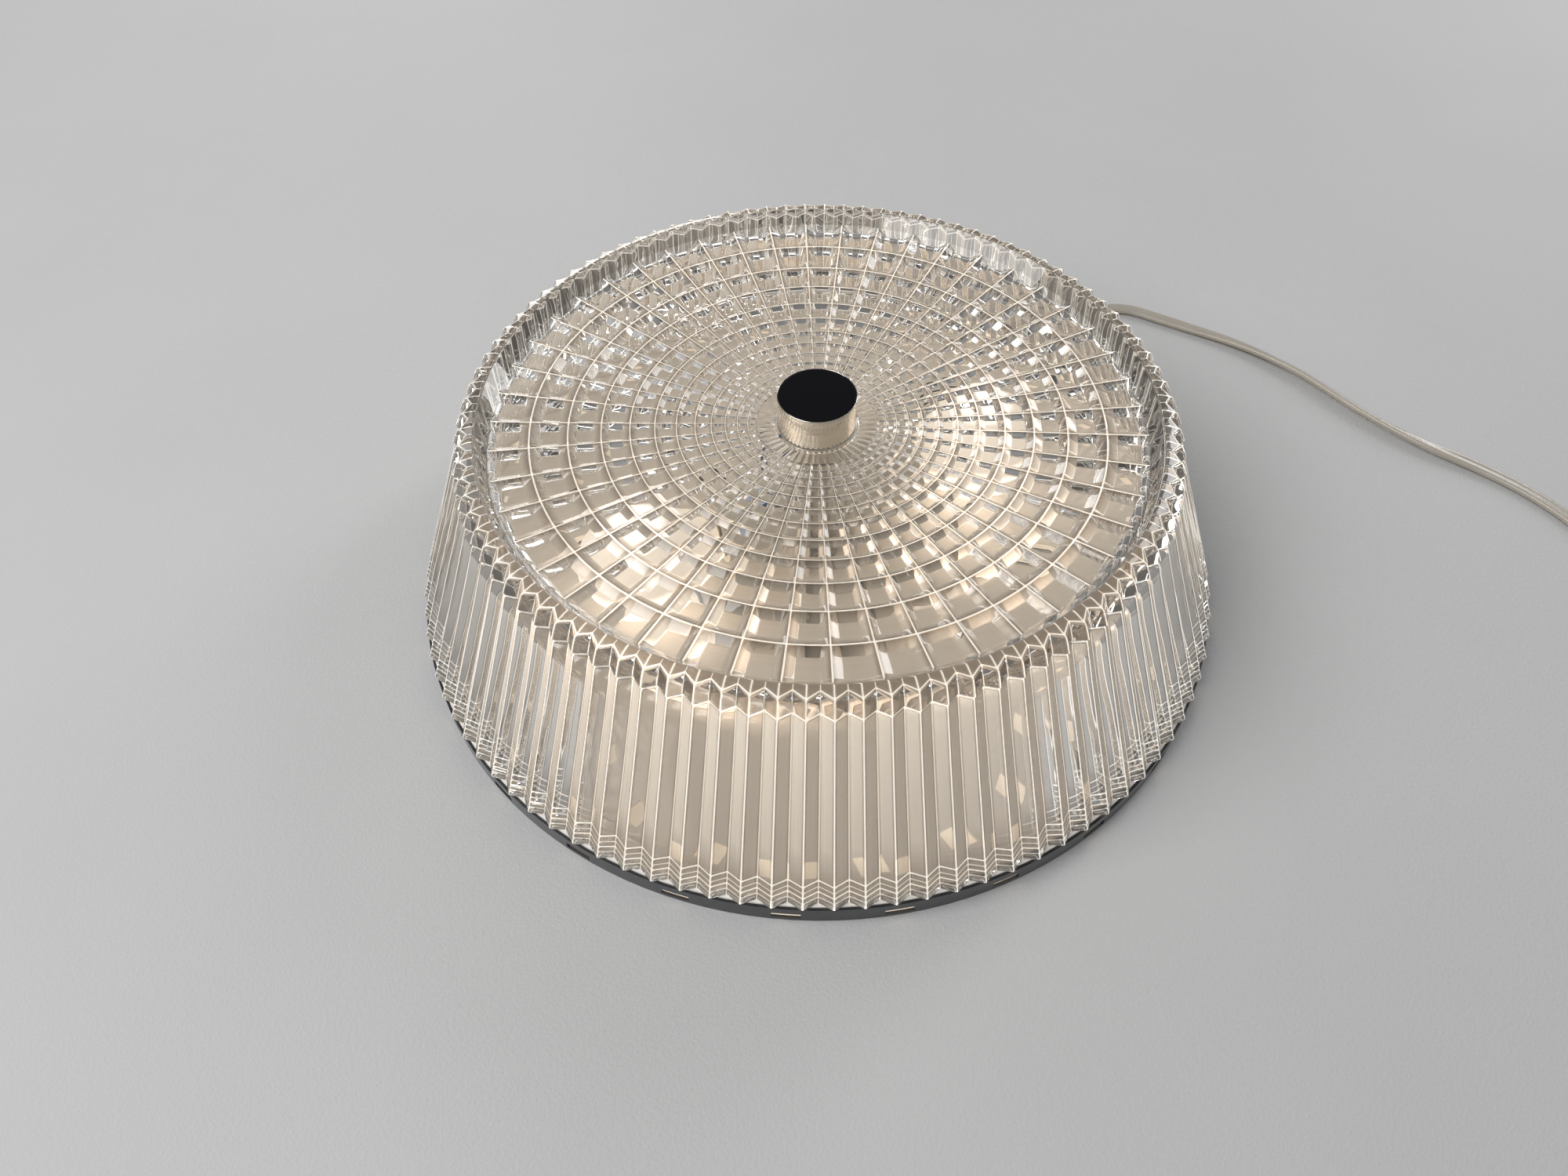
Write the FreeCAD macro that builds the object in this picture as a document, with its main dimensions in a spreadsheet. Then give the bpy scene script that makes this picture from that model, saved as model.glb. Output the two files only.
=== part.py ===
"""Flush mount ceiling light: black steel pan, white reflector tray, two lamps on a bridge
bracket, and a pressed glass drum shade held by one round knob on a central stud.

Millimetres. Z = 0 is the face that goes against the ceiling, +Z points into the room, and
the origin is the middle of that face. The front of the light is -Y.
"""
import FreeCAD, Part
import math
import os
import Sketcher

os.makedirs("parts", exist_ok=True)
doc = FreeCAD.newDocument("ceiling_light")
vector = FreeCAD.Vector

# Driving sizes.
SIZES = {
    # pan
    "pan_inside_rib_tips": 1.0,
    "pan_height": 7.8,
    "pan_wall": 1.0,
    "pan_lip_width": 9.0,
    "vent_count": 26,
    "vent_width": 10.0,
    "vent_height": 3.0,
    "vent_first_angle": -2.9,
    "vent_above_floor": 0.4,
    "fixing_spacing": 180.0,
    "fixing_slot_length": 20.0,
    "fixing_slot_width": 5.2,
    "screwdriver_margin": 3.4,
    "cable_hole_radius": 7.0,
    "cable_hole_along": -58.0,
    "cable_hole_across": 44.0,
    "cable_access_margin": 4.0,
    # reflector tray
    "tray_past_rib_valleys": 0.4,
    "tray_sheet": 0.8,
    "tray_floor_gap": 4.0,
    "tray_wall_clearance": 1.0,
    "tray_vent_depth": 6.0,
    "tray_vent_inset": 3.0,
    # central stud, lock nut and bridge bracket
    "stud_radius": 5.0,
    "stud_engagement": 10.0,
    "stud_foot_radius": 12.0,
    "stud_hole_clearance": 0.2,
    "stud_tip_chamfer": 0.8,
    "nut_flats": 17.0,
    "nut_height": 5.0,
    "lock_washer_height": 1.2,
    "lock_washer_radius": 9.8,
    "bracket_sheet": 1.5,
    "bracket_width": 28.0,
    "bracket_half_length": 12.0,
    "bracket_above_lamp": 16.0,
    "lamp_angle": 27.0,
    "lamp_axis_height": 36.0,
    # lampholders
    "holder_radius": 13.5,
    "holder_base_radius": 15.5,
    "holder_base_length": 9.0,
    "holder_length": 30.0,
    "holder_floor": 6.0,
    "holder_screw_spacing": 20.0,
    "holder_screw_radius": 1.6,
    "holder_screw_head_radius": 2.9,
    "holder_screw_head_height": 1.9,
    "holder_screw_depth": 5.0,
    "shell_wall": 0.4,
    "shell_clearance": 0.05,
    "contact_radius": 4.0,
    "contact_height": 1.2,
    # lamps
    "cap_radius": 6.95,
    "cap_clearance": 0.3,
    "cap_length": 17.5,
    "cap_skirt_radius": 8.4,
    "cap_skirt_length": 2.0,
    "insulator_radius": 5.4,
    "insulator_length": 3.4,
    "lamp_tip_radius": 2.3,
    "lamp_tip_length": 1.6,
    "lamp_tip_gap": 0.3,
    "globe_radius": 22.5,
    "globe_neck_length": 30.3,
    "globe_neck_radius": 7.9,
    # terminal block and lead
    "block_along": 38.0,
    "block_across": 46.0,
    "block_length": 20.0,
    "block_width": 18.0,
    "block_height": 13.0,
    "block_pole_spacing": 9.0,
    "block_bore_radius": 2.3,
    "block_bore_height": 5.0,
    "block_sleeve_wall": 0.5,
    "block_screw_radius": 1.5,
    "block_screw_spacing": 10.0,
    "block_screw_recess": 1.0,
    "block_fixing_radius": 1.5,
    "block_fixing_head_radius": 2.6,
    "block_fixing_head_height": 1.6,
    "lead_width": 6.0,
    "lead_thickness": 3.0,
    "lead_clearance": 0.3,
    "grommet_along": 94.0,
    "grommet_across": 52.0,
    "grommet_bore_radius": 9.5,
    "grommet_wall": 1.5,
    "grommet_lip": 1.5,
    "grommet_lip_height": 0.9,
    "grommet_clearance": 0.1,
    "clamp_along": 66.0,
    "clamp_across": 47.0,
    "clamp_length": 8.0,
    "clamp_span": 18.0,
    "clamp_end": 8.0,
    "clamp_height": 1.5,
    "clamp_screw_radius": 1.5,
    "clamp_screw_head_radius": 2.8,
    "clamp_screw_head_height": 1.8,
    "wire_radius": 1.1,
    # glass shade: outside
    "shade_height": 79.9,
    "shade_base_radius": 160.0,
    "shade_taper": 30.8,
    "rib_count": 96,
    "rib_first_angle": 2.88,
    "rib_depth": 2.4,
    "collar_height": 7.0,
    "collar_proud": 0.9,
    "collar_rib_depth": 2.7,
    "crown_width": 5.3,
    # glass shade: sunburst face
    "face_edge_width": 4.4,
    "outer_cell_length": 14.4,
    "ring_ratio": 1.152,
    "ring_count": 12,
    "crest_centre_height": 70.2,
    "crest_slope": 0.02125,
    "crest_curve": 0.0001523,
    "cell_depth": 0.16,
    "cell_ring_slope": 0.26,
    "cell_spoke_slope": 0.23,
    "flute_inner_radius": 15.6,
    "flute_depth": 0.9,
    # glass shade: inside
    "glass_wall": 5.0,
    "glass_face_thickness": 7.6,
    "glass_inner_fillet": 9.0,
    "seat_below_crest": 2.2,
    "shade_hole_radius": 6.0,
    # knob
    "gasket_height": 0.8,
    "gasket_radius": 14.0,
    "gasket_hole_radius": 6.0,
    "knob_washer_height": 1.0,
    "knob_washer_radius": 14.2,
    "knob_radius": 14.7,
    "knob_height": 14.1,
    "knob_wall": 1.6,
    "knob_edge_chamfer": 0.5,
    "knob_disc_thickness": 1.2,
    "knob_disc_below_rim": 0.2,
    "knob_insert_radius": 8.5,
    "thread_clearance": 0.1,
    # lead outside the pan, its stored coil and the plug
    "coil_x": 372.0,
    "coil_y": -14.0,
    "coil_radius": 33.0,
    "coil_bundle_radius": 6.0,
    "plug_width": 35.0,
    "plug_thickness": 13.7,
    "plug_length": 24.0,
    "plug_x": 405.0,
    "plug_y": 34.0,
    "plug_relief_length": 20.0,
    "plug_relief_radius": 5.0,
    "plug_pin_radius": 2.0,
    "plug_pin_length": 19.0,
    "plug_pin_spacing": 18.6,
}

sheet = doc.addObject("Spreadsheet::Sheet", "Sizes")
for row, (alias, number) in enumerate(SIZES.items(), 1):
    sheet.set("A%d" % row, alias)
    sheet.set("B%d" % row, str(number))
    sheet.setAlias("B%d" % row, alias)
doc.recompute()


class Size:
    """A size with its text in the document's expressions and its present value."""

    def __init__(self, text, value):
        self.text = text
        self.value = value

    def join(self, sign, other, value):
        right = other.text if isinstance(other, Size) else repr(float(other))
        return Size("(%s %s %s)" % (self.text, sign, right), value)

    def __add__(self, other):
        return self.join("+", other, self.value + number_of(other))

    def __sub__(self, other):
        return self.join("-", other, self.value - number_of(other))

    def __mul__(self, other):
        return self.join("*", other, self.value * number_of(other))

    def __truediv__(self, other):
        return self.join("/", other, self.value / number_of(other))

    def __neg__(self):
        return Size("(0 - %s)" % self.text, -self.value)


def number_of(size):
    """The present value of a size, or the number itself."""
    return size.value if isinstance(size, Size) else float(size)


def size(alias):
    """The sheet's size of that name."""
    return Size("Sizes." + alias, float(sheet.get(alias)))


def bind(feature, prop, length):
    """Sets a property from a size and ties it to the sheet."""
    feature.setExpression(prop, length.text)


# Levels shared by the pieces.
shade_radius = size("shade_base_radius")
pan_radius = shade_radius - size("pan_inside_rib_tips")
pan_wall = size("pan_wall")
pan_height = size("pan_height")
tray_sheet = size("tray_sheet")
tray_under = pan_wall + size("tray_floor_gap")
tray_top = tray_under + tray_sheet
glass_bottom = pan_height + tray_sheet
lamp_axis = size("lamp_axis_height")
lamp_angle = size("lamp_angle")
stud_radius = size("stud_radius")
stud_hole = stud_radius + size("stud_hole_clearance")
bracket_sheet = size("bracket_sheet")
bracket_half = size("bracket_half_length")
crest_centre = glass_bottom + size("crest_centre_height")
seat_height = crest_centre - size("seat_below_crest")
washer_bottom = seat_height + size("gasket_height")
knob_bottom = washer_bottom + size("knob_washer_height")
knob_top = knob_bottom + size("knob_height")
stud_top = knob_bottom + size("stud_engagement")
lead_width = size("lead_width")
lead_thickness = size("lead_thickness")
shell_inner = size("cap_radius") + size("cap_clearance")
shell_outer = shell_inner + size("shell_wall")
pieces = []


# Modelling helpers.
def origin_plane(body, role):
    """One of the body's own origin planes."""
    return [plane for plane in body.Origin.OriginFeatures if plane.Role == role][0]


def new_body(name):
    """An empty body whose label names its file."""
    body = doc.addObject("PartDesign::Body", name)
    body.Label = name
    pieces.append(body)
    return body


def new_sketch(body, name, plane, height=None, turn=None):
    """A sketch on an origin plane, raised by a size or turned about the plane's upright axis."""
    sketch = body.newObject("Sketcher::SketchObject", name)
    sketch.AttachmentSupport = [(origin_plane(body, plane), "")]
    sketch.MapMode = "FlatFace"
    if turn is not None:
        upright = FreeCAD.Rotation(vector(0, 1, 0), turn.value)
        sketch.AttachmentOffset = FreeCAD.Placement(vector(), upright)
        sketch.setExpression("AttachmentOffset.Rotation.Angle", turn.text + " * 1 deg")
    if height is not None:
        sketch.setExpression("AttachmentOffset.Base.z", height.text)
    return sketch


def hold(sketch, geometry, point, place):
    """Ties a sketch point to two sizes from the origin."""
    for kind, axis, distance in (("DistanceX", -2, place[0]), ("DistanceY", -1, place[1])):
        if not isinstance(distance, Size):
            sketch.addConstraint(Sketcher.Constraint("PointOnObject", geometry, point, axis))
            continue
        datum = Sketcher.Constraint(kind, -1, 1, geometry, point, distance.value)
        index = sketch.addConstraint(datum)
        sketch.setExpression("Constraints[%d]" % index, distance.text)


def flat(place):
    """A sketch point as a vector."""
    return vector(number_of(place[0]), number_of(place[1]), 0)


def outline(sketch, corners):
    """A closed straight-sided outline; 0 puts a corner on the axis."""
    first = sketch.GeometryCount
    count = len(corners)
    for k in range(count):
        sketch.addGeometry(Part.LineSegment(flat(corners[k]), flat(corners[(k + 1) % count])), False)
    for k in range(count):
        after = first + (k + 1) % count
        sketch.addConstraint(Sketcher.Constraint("Coincident", first + k, 2, after, 1))
        hold(sketch, first + k, 1, corners[k])


def rectangle(sketch, left, low, right, high):
    """An upright rectangle between two opposite corners."""
    outline(sketch, [(left, low), (right, low), (right, high), (left, high)])


def circle(sketch, place, radius):
    """A circle at a place."""
    round_edge = Part.Circle(flat(place), vector(0, 0, 1), radius.value)
    index = sketch.addGeometry(round_edge, False)
    hold(sketch, index, 3, place)
    datum = sketch.addConstraint(Sketcher.Constraint("Radius", index, radius.value))
    sketch.setExpression("Constraints[%d]" % datum, radius.text)


def slot(sketch, place, length, width):
    """A round-ended slot along the sketch's first axis, centred on a place."""
    reach = (length - width) / 2.0
    half = width / 2.0
    left, right = place[0] - reach, place[0] + reach
    low = -half if not isinstance(place[1], Size) else place[1] - half
    high = half if not isinstance(place[1], Size) else place[1] + half
    first = sketch.GeometryCount
    sketch.addGeometry(Part.LineSegment(flat((left, low)), flat((right, low))), False)
    ends = ((right, -90, 90), (left, 90, 270))
    arcs = []
    for centre, start, stop in ends:
        whole = Part.Circle(flat((centre, place[1])), vector(0, 0, 1), half.value)
        arcs.append(Part.ArcOfCircle(whole, math.radians(start), math.radians(stop)))
    sketch.addGeometry(arcs[0], False)
    sketch.addGeometry(Part.LineSegment(flat((right, high)), flat((left, high))), False)
    sketch.addGeometry(arcs[1], False)
    for k in range(4):
        after = first + (k + 1) % 4
        sketch.addConstraint(Sketcher.Constraint("Coincident", first + k, 2, after, 1))
    hold(sketch, first, 1, (left, low))
    hold(sketch, first, 2, (right, low))
    hold(sketch, first + 2, 1, (right, high))
    hold(sketch, first + 2, 2, (left, high))
    for index, centre in ((first + 1, right), (first + 3, left)):
        datum = Sketcher.Constraint("DistanceX", -1, 1, index, 3, centre.value)
        position = sketch.addConstraint(datum)
        sketch.setExpression("Constraints[%d]" % position, centre.text)


def revolve(body, name, corners, axis="V_Axis"):
    """Adds a turned solid from an outline on the XZ plane."""
    sketch = new_sketch(body, name + "_outline", "XZ_Plane")
    outline(sketch, corners)
    turned = body.newObject("PartDesign::Revolution", name)
    turned.Profile = sketch
    turned.ReferenceAxis = (sketch, [axis])
    turned.Angle = 360
    doc.recompute()
    return turned


def pad(body, name, sketch, length, both_ways=False):
    """Raises a sketch by a length."""
    raised = body.newObject("PartDesign::Pad", name)
    raised.Profile = sketch
    bind(raised, "Length", length)
    if both_ways:
        raised.SideType = "Symmetric"
    doc.recompute()
    return raised


def pocket(body, name, sketch, length, against_normal=True, both_ways=False):
    """Cuts a sketch into the body and checks that it took something away."""
    before = body.Shape.Volume
    cut = body.newObject("PartDesign::Pocket", name)
    cut.Profile = sketch
    cut.Reversed = not against_normal
    bind(cut, "Length", length)
    if both_ways:
        cut.SideType = "Symmetric"
    doc.recompute()
    if cut.Shape.Volume > before - 0.01:
        raise RuntimeError(name + " cuts nothing")
    return cut


def pattern(body, name, feature, axis, count):
    """Repeats a feature evenly round an axis."""
    repeated = body.newObject("PartDesign::PolarPattern", name)
    repeated.Originals = [feature]
    repeated.Axis = axis
    repeated.Angle = 360
    bind(repeated, "Occurrences", count)
    body.Tip = repeated
    doc.recompute()
    return repeated


def place_on_lamp_axis(body, turn):
    """Turns a body that was modelled along X onto a lamp's axis."""
    body.Placement = FreeCAD.Placement(vector(0, 0, 0), FreeCAD.Rotation(vector(0, 0, 1), 1))
    body.setExpression("Placement.Base.z", lamp_axis.text)
    body.setExpression("Placement.Rotation.Angle", turn.text + " * 1 deg")


def place_on_lamp_line(body):
    """Turns a body that was modelled with the lamps along X onto the real lamp line."""
    body.Placement = FreeCAD.Placement(vector(0, 0, 0), FreeCAD.Rotation(vector(0, 0, 1), 1))
    body.setExpression("Placement.Rotation.Angle", lamp_angle.text + " * 1 deg")


def solid_feature(name, shape, on_lamp_line=True):
    """A node whose shape is made with Part's own functions."""
    feature = doc.addObject("Part::Feature", name)
    feature.Label = name
    feature.Shape = shape
    if on_lamp_line:
        turned = FreeCAD.Rotation(vector(0, 0, 1), lamp_angle.value)
        feature.Placement = FreeCAD.Placement(vector(0, 0, 0), turned)
    pieces.append(feature)
    return feature


def screw(place, head_radius, head_height, shank_radius, shank_length, axis=vector(0, 0, 1)):
    """A cheese-head screw; place is the underside of its head and axis points out of it."""
    head = Part.makeCylinder(head_radius, head_height, place, axis)
    shank = Part.makeCylinder(shank_radius, shank_length, place, axis * -1)
    return head.fuse(shank).removeSplitter()


def rounded_path(points, name):
    """Straight runs joined by tangent arcs: radius 0.45 of the shorter run over tan(half turn)."""
    corners = [vector(*point) for point in points]
    edges = []
    start = corners[0]
    radii = []
    for before, corner, after in zip(corners, corners[1:], corners[2:]):
        inward, outward = before - corner, after - corner
        shorter = min(inward.Length, outward.Length)
        inward.normalize()
        outward.normalize()
        turn = math.pi - inward.getAngle(outward)
        radius = 0.45 * shorter / math.tan(turn / 2)
        radii.append(round(radius, 1))
        reach = 0.45 * shorter
        middle = inward + outward
        middle.normalize()
        away = radius / math.cos(turn / 2) - radius
        arc_start = corner + inward * reach
        arc_end = corner + outward * reach
        edges.append(Part.LineSegment(start, arc_start).toShape())
        edges.append(Part.Arc(arc_start, corner + middle * away, arc_end).toShape())
        start = arc_end
    edges.append(Part.LineSegment(start, corners[-1]).toShape())
    wire = Part.Wire(edges)
    print(name, "length", round(wire.Length, 1), "radii", radii)
    return wire


def round_tube(points, radius, name):
    """A round wire or tube along a rounded path."""
    path = rounded_path(points, name)
    start = vector(*points[0])
    circle_edge = Part.Circle(start, vector(*points[1]) - start, radius).toShape()
    tube = path.makePipeShell([Part.Wire([circle_edge])], True, False)
    wanted = math.pi * radius**2 * path.Length
    if abs(tube.Volume / wanted - 1) > 0.01:
        raise RuntimeError(name + " has the wrong volume")
    return tube


def flat_tube(points, width, thickness, name):
    """A flat twin lead along a rounded path, lying on its broad side."""
    path = rounded_path(points, name)
    start = vector(*points[0])
    along = vector(*points[1]) - start
    along.normalize()
    side = vector(0, 0, 1).cross(along)
    side.normalize()
    up = along.cross(side)
    straight = (width - thickness) / 2
    half = thickness / 2
    right, left = start + side * straight, start - side * straight
    edges = [
        Part.LineSegment(left + up * half, right + up * half).toShape(),
        Part.Arc(right + up * half, right + side * half, right - up * half).toShape(),
        Part.LineSegment(right - up * half, left - up * half).toShape(),
        Part.Arc(left - up * half, left - side * half, left + up * half).toShape(),
    ]
    sweep = Part.BRepOffsetAPI.MakePipeShell(path)
    sweep.setBiNormalMode(vector(0, 0, 1))
    sweep.add(Part.Wire(edges))
    sweep.build()
    sweep.makeSolid()
    tube = sweep.shape()
    wanted = (math.pi * half**2 + (width - thickness) * thickness) * path.Length
    if abs(tube.Volume / wanted - 1) > 0.02:
        raise RuntimeError(name + " has the wrong volume")
    return tube


# Base pan.
# A black steel dish: floor on the ceiling, upright skirt, and a lip that carries the tray.
lip_inner = pan_radius - size("pan_lip_width")
pan = new_body("base_pan")
revolve(
    pan,
    "pan_dish",
    [
        (0, 0),
        (pan_radius, 0),
        (pan_radius, pan_height),
        (lip_inner, pan_height),
        (lip_inner, pan_height - pan_wall),
        (pan_radius - pan_wall, pan_height - pan_wall),
        (pan_radius - pan_wall, pan_wall),
        (0, pan_wall),
    ],
)

# Cooling slots at the foot of the skirt, measured from the front towards +X.
vent_low = pan_wall + size("vent_above_floor")
vent_high = vent_low + size("vent_height")
vent_half = size("vent_width") / 2.0
vents = new_sketch(pan, "vent_outline", "XZ_Plane", turn=size("vent_first_angle"))
rectangle(vents, -vent_half, vent_low, vent_half, vent_high)
vent = pocket(pan, "vent", vents, pan_radius + 1.0, against_normal=False)
pattern(pan, "vents", vent, (vents, ["V_Axis"]), size("vent_count"))

# The lead leaves the skirt half-way between two cooling slots at the back right.
vent_step = 360.0 / number_of(size("vent_count"))
lead_turn = size("vent_first_angle") + Size("(360 / Sizes.vent_count)", vent_step) * 10.5
notch_half = lead_width / 2.0 + size("lead_clearance")
notch_low = pan_wall
notch_high = notch_low + lead_thickness + size("lead_clearance")
notch = new_sketch(pan, "lead_notch_outline", "XZ_Plane", turn=lead_turn)
rectangle(notch, -notch_half, notch_low, notch_half, notch_high)
pocket(pan, "lead_notch", notch, pan_radius + 1.0, against_normal=False)

# Two slots for the ceiling screws.
fixing_half = size("fixing_spacing") / 2.0
fixings = new_sketch(pan, "fixing_outline", "XY_Plane")
for side in (fixing_half, -fixing_half):
    slot(fixings, (side, 0), size("fixing_slot_length"), size("fixing_slot_width"))
pocket(pan, "fixing_slots", fixings, pan_wall * 2.0, both_ways=True)

# The hole for the ceiling's own cable lies off the lamp line, at the left back.
line_cos = Size("cos(Sizes.lamp_angle * 1 deg)", math.cos(math.radians(lamp_angle.value)))
line_sin = Size("sin(Sizes.lamp_angle * 1 deg)", math.sin(math.radians(lamp_angle.value)))


def on_lamp_line(along, across):
    """A place given along and across the lamp line, in the part's own axes."""
    return (along * line_cos - across * line_sin, along * line_sin + across * line_cos)


cable_place = on_lamp_line(size("cable_hole_along"), size("cable_hole_across"))
cable_hole = size("cable_hole_radius")
cable_entry = new_sketch(pan, "cable_entry_outline", "XY_Plane")
circle(cable_entry, cable_place, cable_hole)
pocket(pan, "cable_entry", cable_entry, pan_wall * 2.0, both_ways=True)

# Reflector tray.
# White sheet dish that rests on the pan's lip and on the stud's foot, and carries the glass.
tray_radius = shade_radius - size("rib_depth") + size("tray_past_rib_valleys")
tray_wall = lip_inner - size("tray_wall_clearance")
tray = new_body("reflector_tray")
revolve(
    tray,
    "tray_dish",
    [
        (0, tray_under),
        (tray_wall, tray_under),
        (tray_wall, pan_height),
        (tray_radius, pan_height),
        (tray_radius, glass_bottom),
        (tray_wall - tray_sheet, glass_bottom),
        (tray_wall - tray_sheet, tray_top),
        (0, tray_top),
    ],
)

# Cooling slots in the tray floor, in line with the slots of the skirt.
tray_vent_outer = tray_wall - tray_sheet - size("tray_vent_inset")
tray_vent_inner = tray_vent_outer - size("tray_vent_depth")
vent_row = new_sketch(tray, "tray_vent_outline", "XY_Plane", height=tray_top)
first_vent = FreeCAD.Rotation(vector(0, 0, 1), size("vent_first_angle").value)
vent_row.AttachmentOffset = FreeCAD.Placement(vector(0, 0, 0), first_vent)
vent_row.setExpression("AttachmentOffset.Base.z", tray_top.text)
vent_row.setExpression("AttachmentOffset.Rotation.Angle", size("vent_first_angle").text + " * 1 deg")
rectangle(vent_row, -vent_half, -tray_vent_outer, vent_half, -tray_vent_inner)
tray_vent = pocket(tray, "tray_vent", vent_row, tray_sheet * 2.0)
pattern(tray, "tray_vents", tray_vent, (vent_row, ["N_Axis"]), size("vent_count"))

# Openings over the ceiling screws, for the stud, the two cables and the small screws.
driver = size("screwdriver_margin") * 2.0
block_along, block_across = size("block_along"), size("block_across")
clamp_along, clamp_across = size("clamp_along"), size("clamp_across")
clamp_screw_reach = (lead_width + size("clamp_end")) / 2.0
grommet_place = on_lamp_line(size("grommet_along"), size("grommet_across"))
grommet_hole = size("grommet_bore_radius") + size("grommet_wall") + size("grommet_clearance")
clamp_screw_hole = size("clamp_screw_radius") + 0.1
block_screw_hole = size("block_fixing_radius") + 0.1
tray_holes = new_sketch(tray, "tray_hole_outline", "XY_Plane", height=tray_top)
for side in (fixing_half, -fixing_half):
    slot(tray_holes, (side, 0), size("fixing_slot_length") + driver, size("fixing_slot_width") + driver)
circle(tray_holes, (0, 0), stud_hole)
circle(tray_holes, cable_place, cable_hole + size("cable_access_margin"))
circle(tray_holes, grommet_place, grommet_hole)
circle(tray_holes, on_lamp_line(block_along, block_across), block_screw_hole)
for side in (clamp_screw_reach, -clamp_screw_reach):
    circle(tray_holes, on_lamp_line(clamp_along, clamp_across + side), clamp_screw_hole)
pocket(tray, "tray_holes", tray_holes, tray_sheet * 2.0)

# Cable grommets.
cable_lip = size("grommet_lip")
lip_height = size("grommet_lip_height")
grommet_gap = size("grommet_clearance")
cable_grommet = new_body("cable_grommet")
cable_bore = cable_hole - size("grommet_wall") - grommet_gap
revolve(
    cable_grommet,
    "cable_grommet_ring",
    [
        (cable_bore, 0),
        (cable_hole - grommet_gap, 0),
        (cable_hole - grommet_gap, pan_wall),
        (cable_hole + cable_lip, pan_wall),
        (cable_hole + cable_lip, pan_wall + lip_height),
        (cable_bore, pan_wall + lip_height),
    ],
)
cable_grommet.setExpression("Placement.Base.x", cable_place[0].text)
cable_grommet.setExpression("Placement.Base.y", cable_place[1].text)

tray_grommet = new_body("lead_grommet")
grommet_bore = size("grommet_bore_radius")
grommet_body = grommet_hole - grommet_gap
revolve(
    tray_grommet,
    "lead_grommet_ring",
    [
        (grommet_bore, tray_under),
        (grommet_body, tray_under),
        (grommet_body, tray_top),
        (grommet_body + cable_lip, tray_top),
        (grommet_body + cable_lip, tray_top + lip_height),
        (grommet_bore, tray_top + lip_height),
    ],
)
tray_grommet.setExpression("Placement.Base.x", grommet_place[0].text)
tray_grommet.setExpression("Placement.Base.y", grommet_place[1].text)

# Central stud and its nut.
# The stud's foot is welded to the pan floor and spaces the tray above it.
tip = size("stud_tip_chamfer")
stud = new_body("centre_stud")
revolve(
    stud,
    "stud_turning",
    [
        (0, pan_wall),
        (size("stud_foot_radius"), pan_wall),
        (size("stud_foot_radius"), tray_under),
        (stud_radius, tray_under),
        (stud_radius, stud_top - tip),
        (stud_radius - tip, stud_top),
        (0, stud_top),
    ],
)

bracket_top = tray_top + bracket_sheet
lock_washer = new_body("lock_washer")
revolve(
    lock_washer,
    "lock_washer_ring",
    [
        (stud_hole, bracket_top),
        (size("lock_washer_radius"), bracket_top),
        (size("lock_washer_radius"), bracket_top + size("lock_washer_height")),
        (stud_hole, bracket_top + size("lock_washer_height")),
    ],
)

nut_bottom = bracket_top + size("lock_washer_height")
lock_nut = new_body("lock_nut")
nut_sketch = new_sketch(lock_nut, "nut_outline", "XY_Plane", height=nut_bottom)
nut_corner = size("nut_flats") / math.sqrt(3.0)
nut_flat = size("nut_flats") / 2.0
outline(
    nut_sketch,
    [
        (0, nut_corner),
        (-nut_flat, nut_corner / 2.0),
        (-nut_flat, -(nut_corner / 2.0)),
        (0, -nut_corner),
        (nut_flat, -(nut_corner / 2.0)),
        (nut_flat, nut_corner / 2.0),
    ],
)
circle(nut_sketch, (0, 0), stud_radius + size("thread_clearance"))
pad(lock_nut, "nut_prism", nut_sketch, size("nut_height"))

# Bridge bracket.
# One folded steel strip: it lies on the tray and its two ends stand up behind the holders.
bracket_high = lamp_axis + size("bracket_above_lamp")
bracket_inner = bracket_half - bracket_sheet
bracket = new_body("bridge_bracket")
bracket_outline = new_sketch(bracket, "bracket_outline", "XZ_Plane")
outline(
    bracket_outline,
    [
        (-bracket_half, tray_top),
        (bracket_half, tray_top),
        (bracket_half, bracket_high),
        (bracket_inner, bracket_high),
        (bracket_inner, bracket_top),
        (-bracket_inner, bracket_top),
        (-bracket_inner, bracket_high),
        (-bracket_half, bracket_high),
    ],
)
pad(bracket, "bracket_strip", bracket_outline, size("bracket_width"), both_ways=True)
bracket_stud = new_sketch(bracket, "bracket_stud_hole", "XY_Plane", height=bracket_top)
circle(bracket_stud, (0, 0), stud_hole)
pocket(bracket, "bracket_stud", bracket_stud, bracket_sheet * 2.0)
holder_screw_radius = size("holder_screw_radius")
holder_screw_reach = size("holder_screw_spacing") / 2.0
bracket_screws = new_sketch(bracket, "bracket_screw_holes", "YZ_Plane")
for side in (holder_screw_reach, -holder_screw_reach):
    circle(bracket_screws, (side, lamp_axis), holder_screw_radius + 0.1)
pocket(bracket, "bracket_screw_pocket", bracket_screws, bracket_half * 2.0 + 2.0, both_ways=True)
place_on_lamp_line(bracket)

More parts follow.
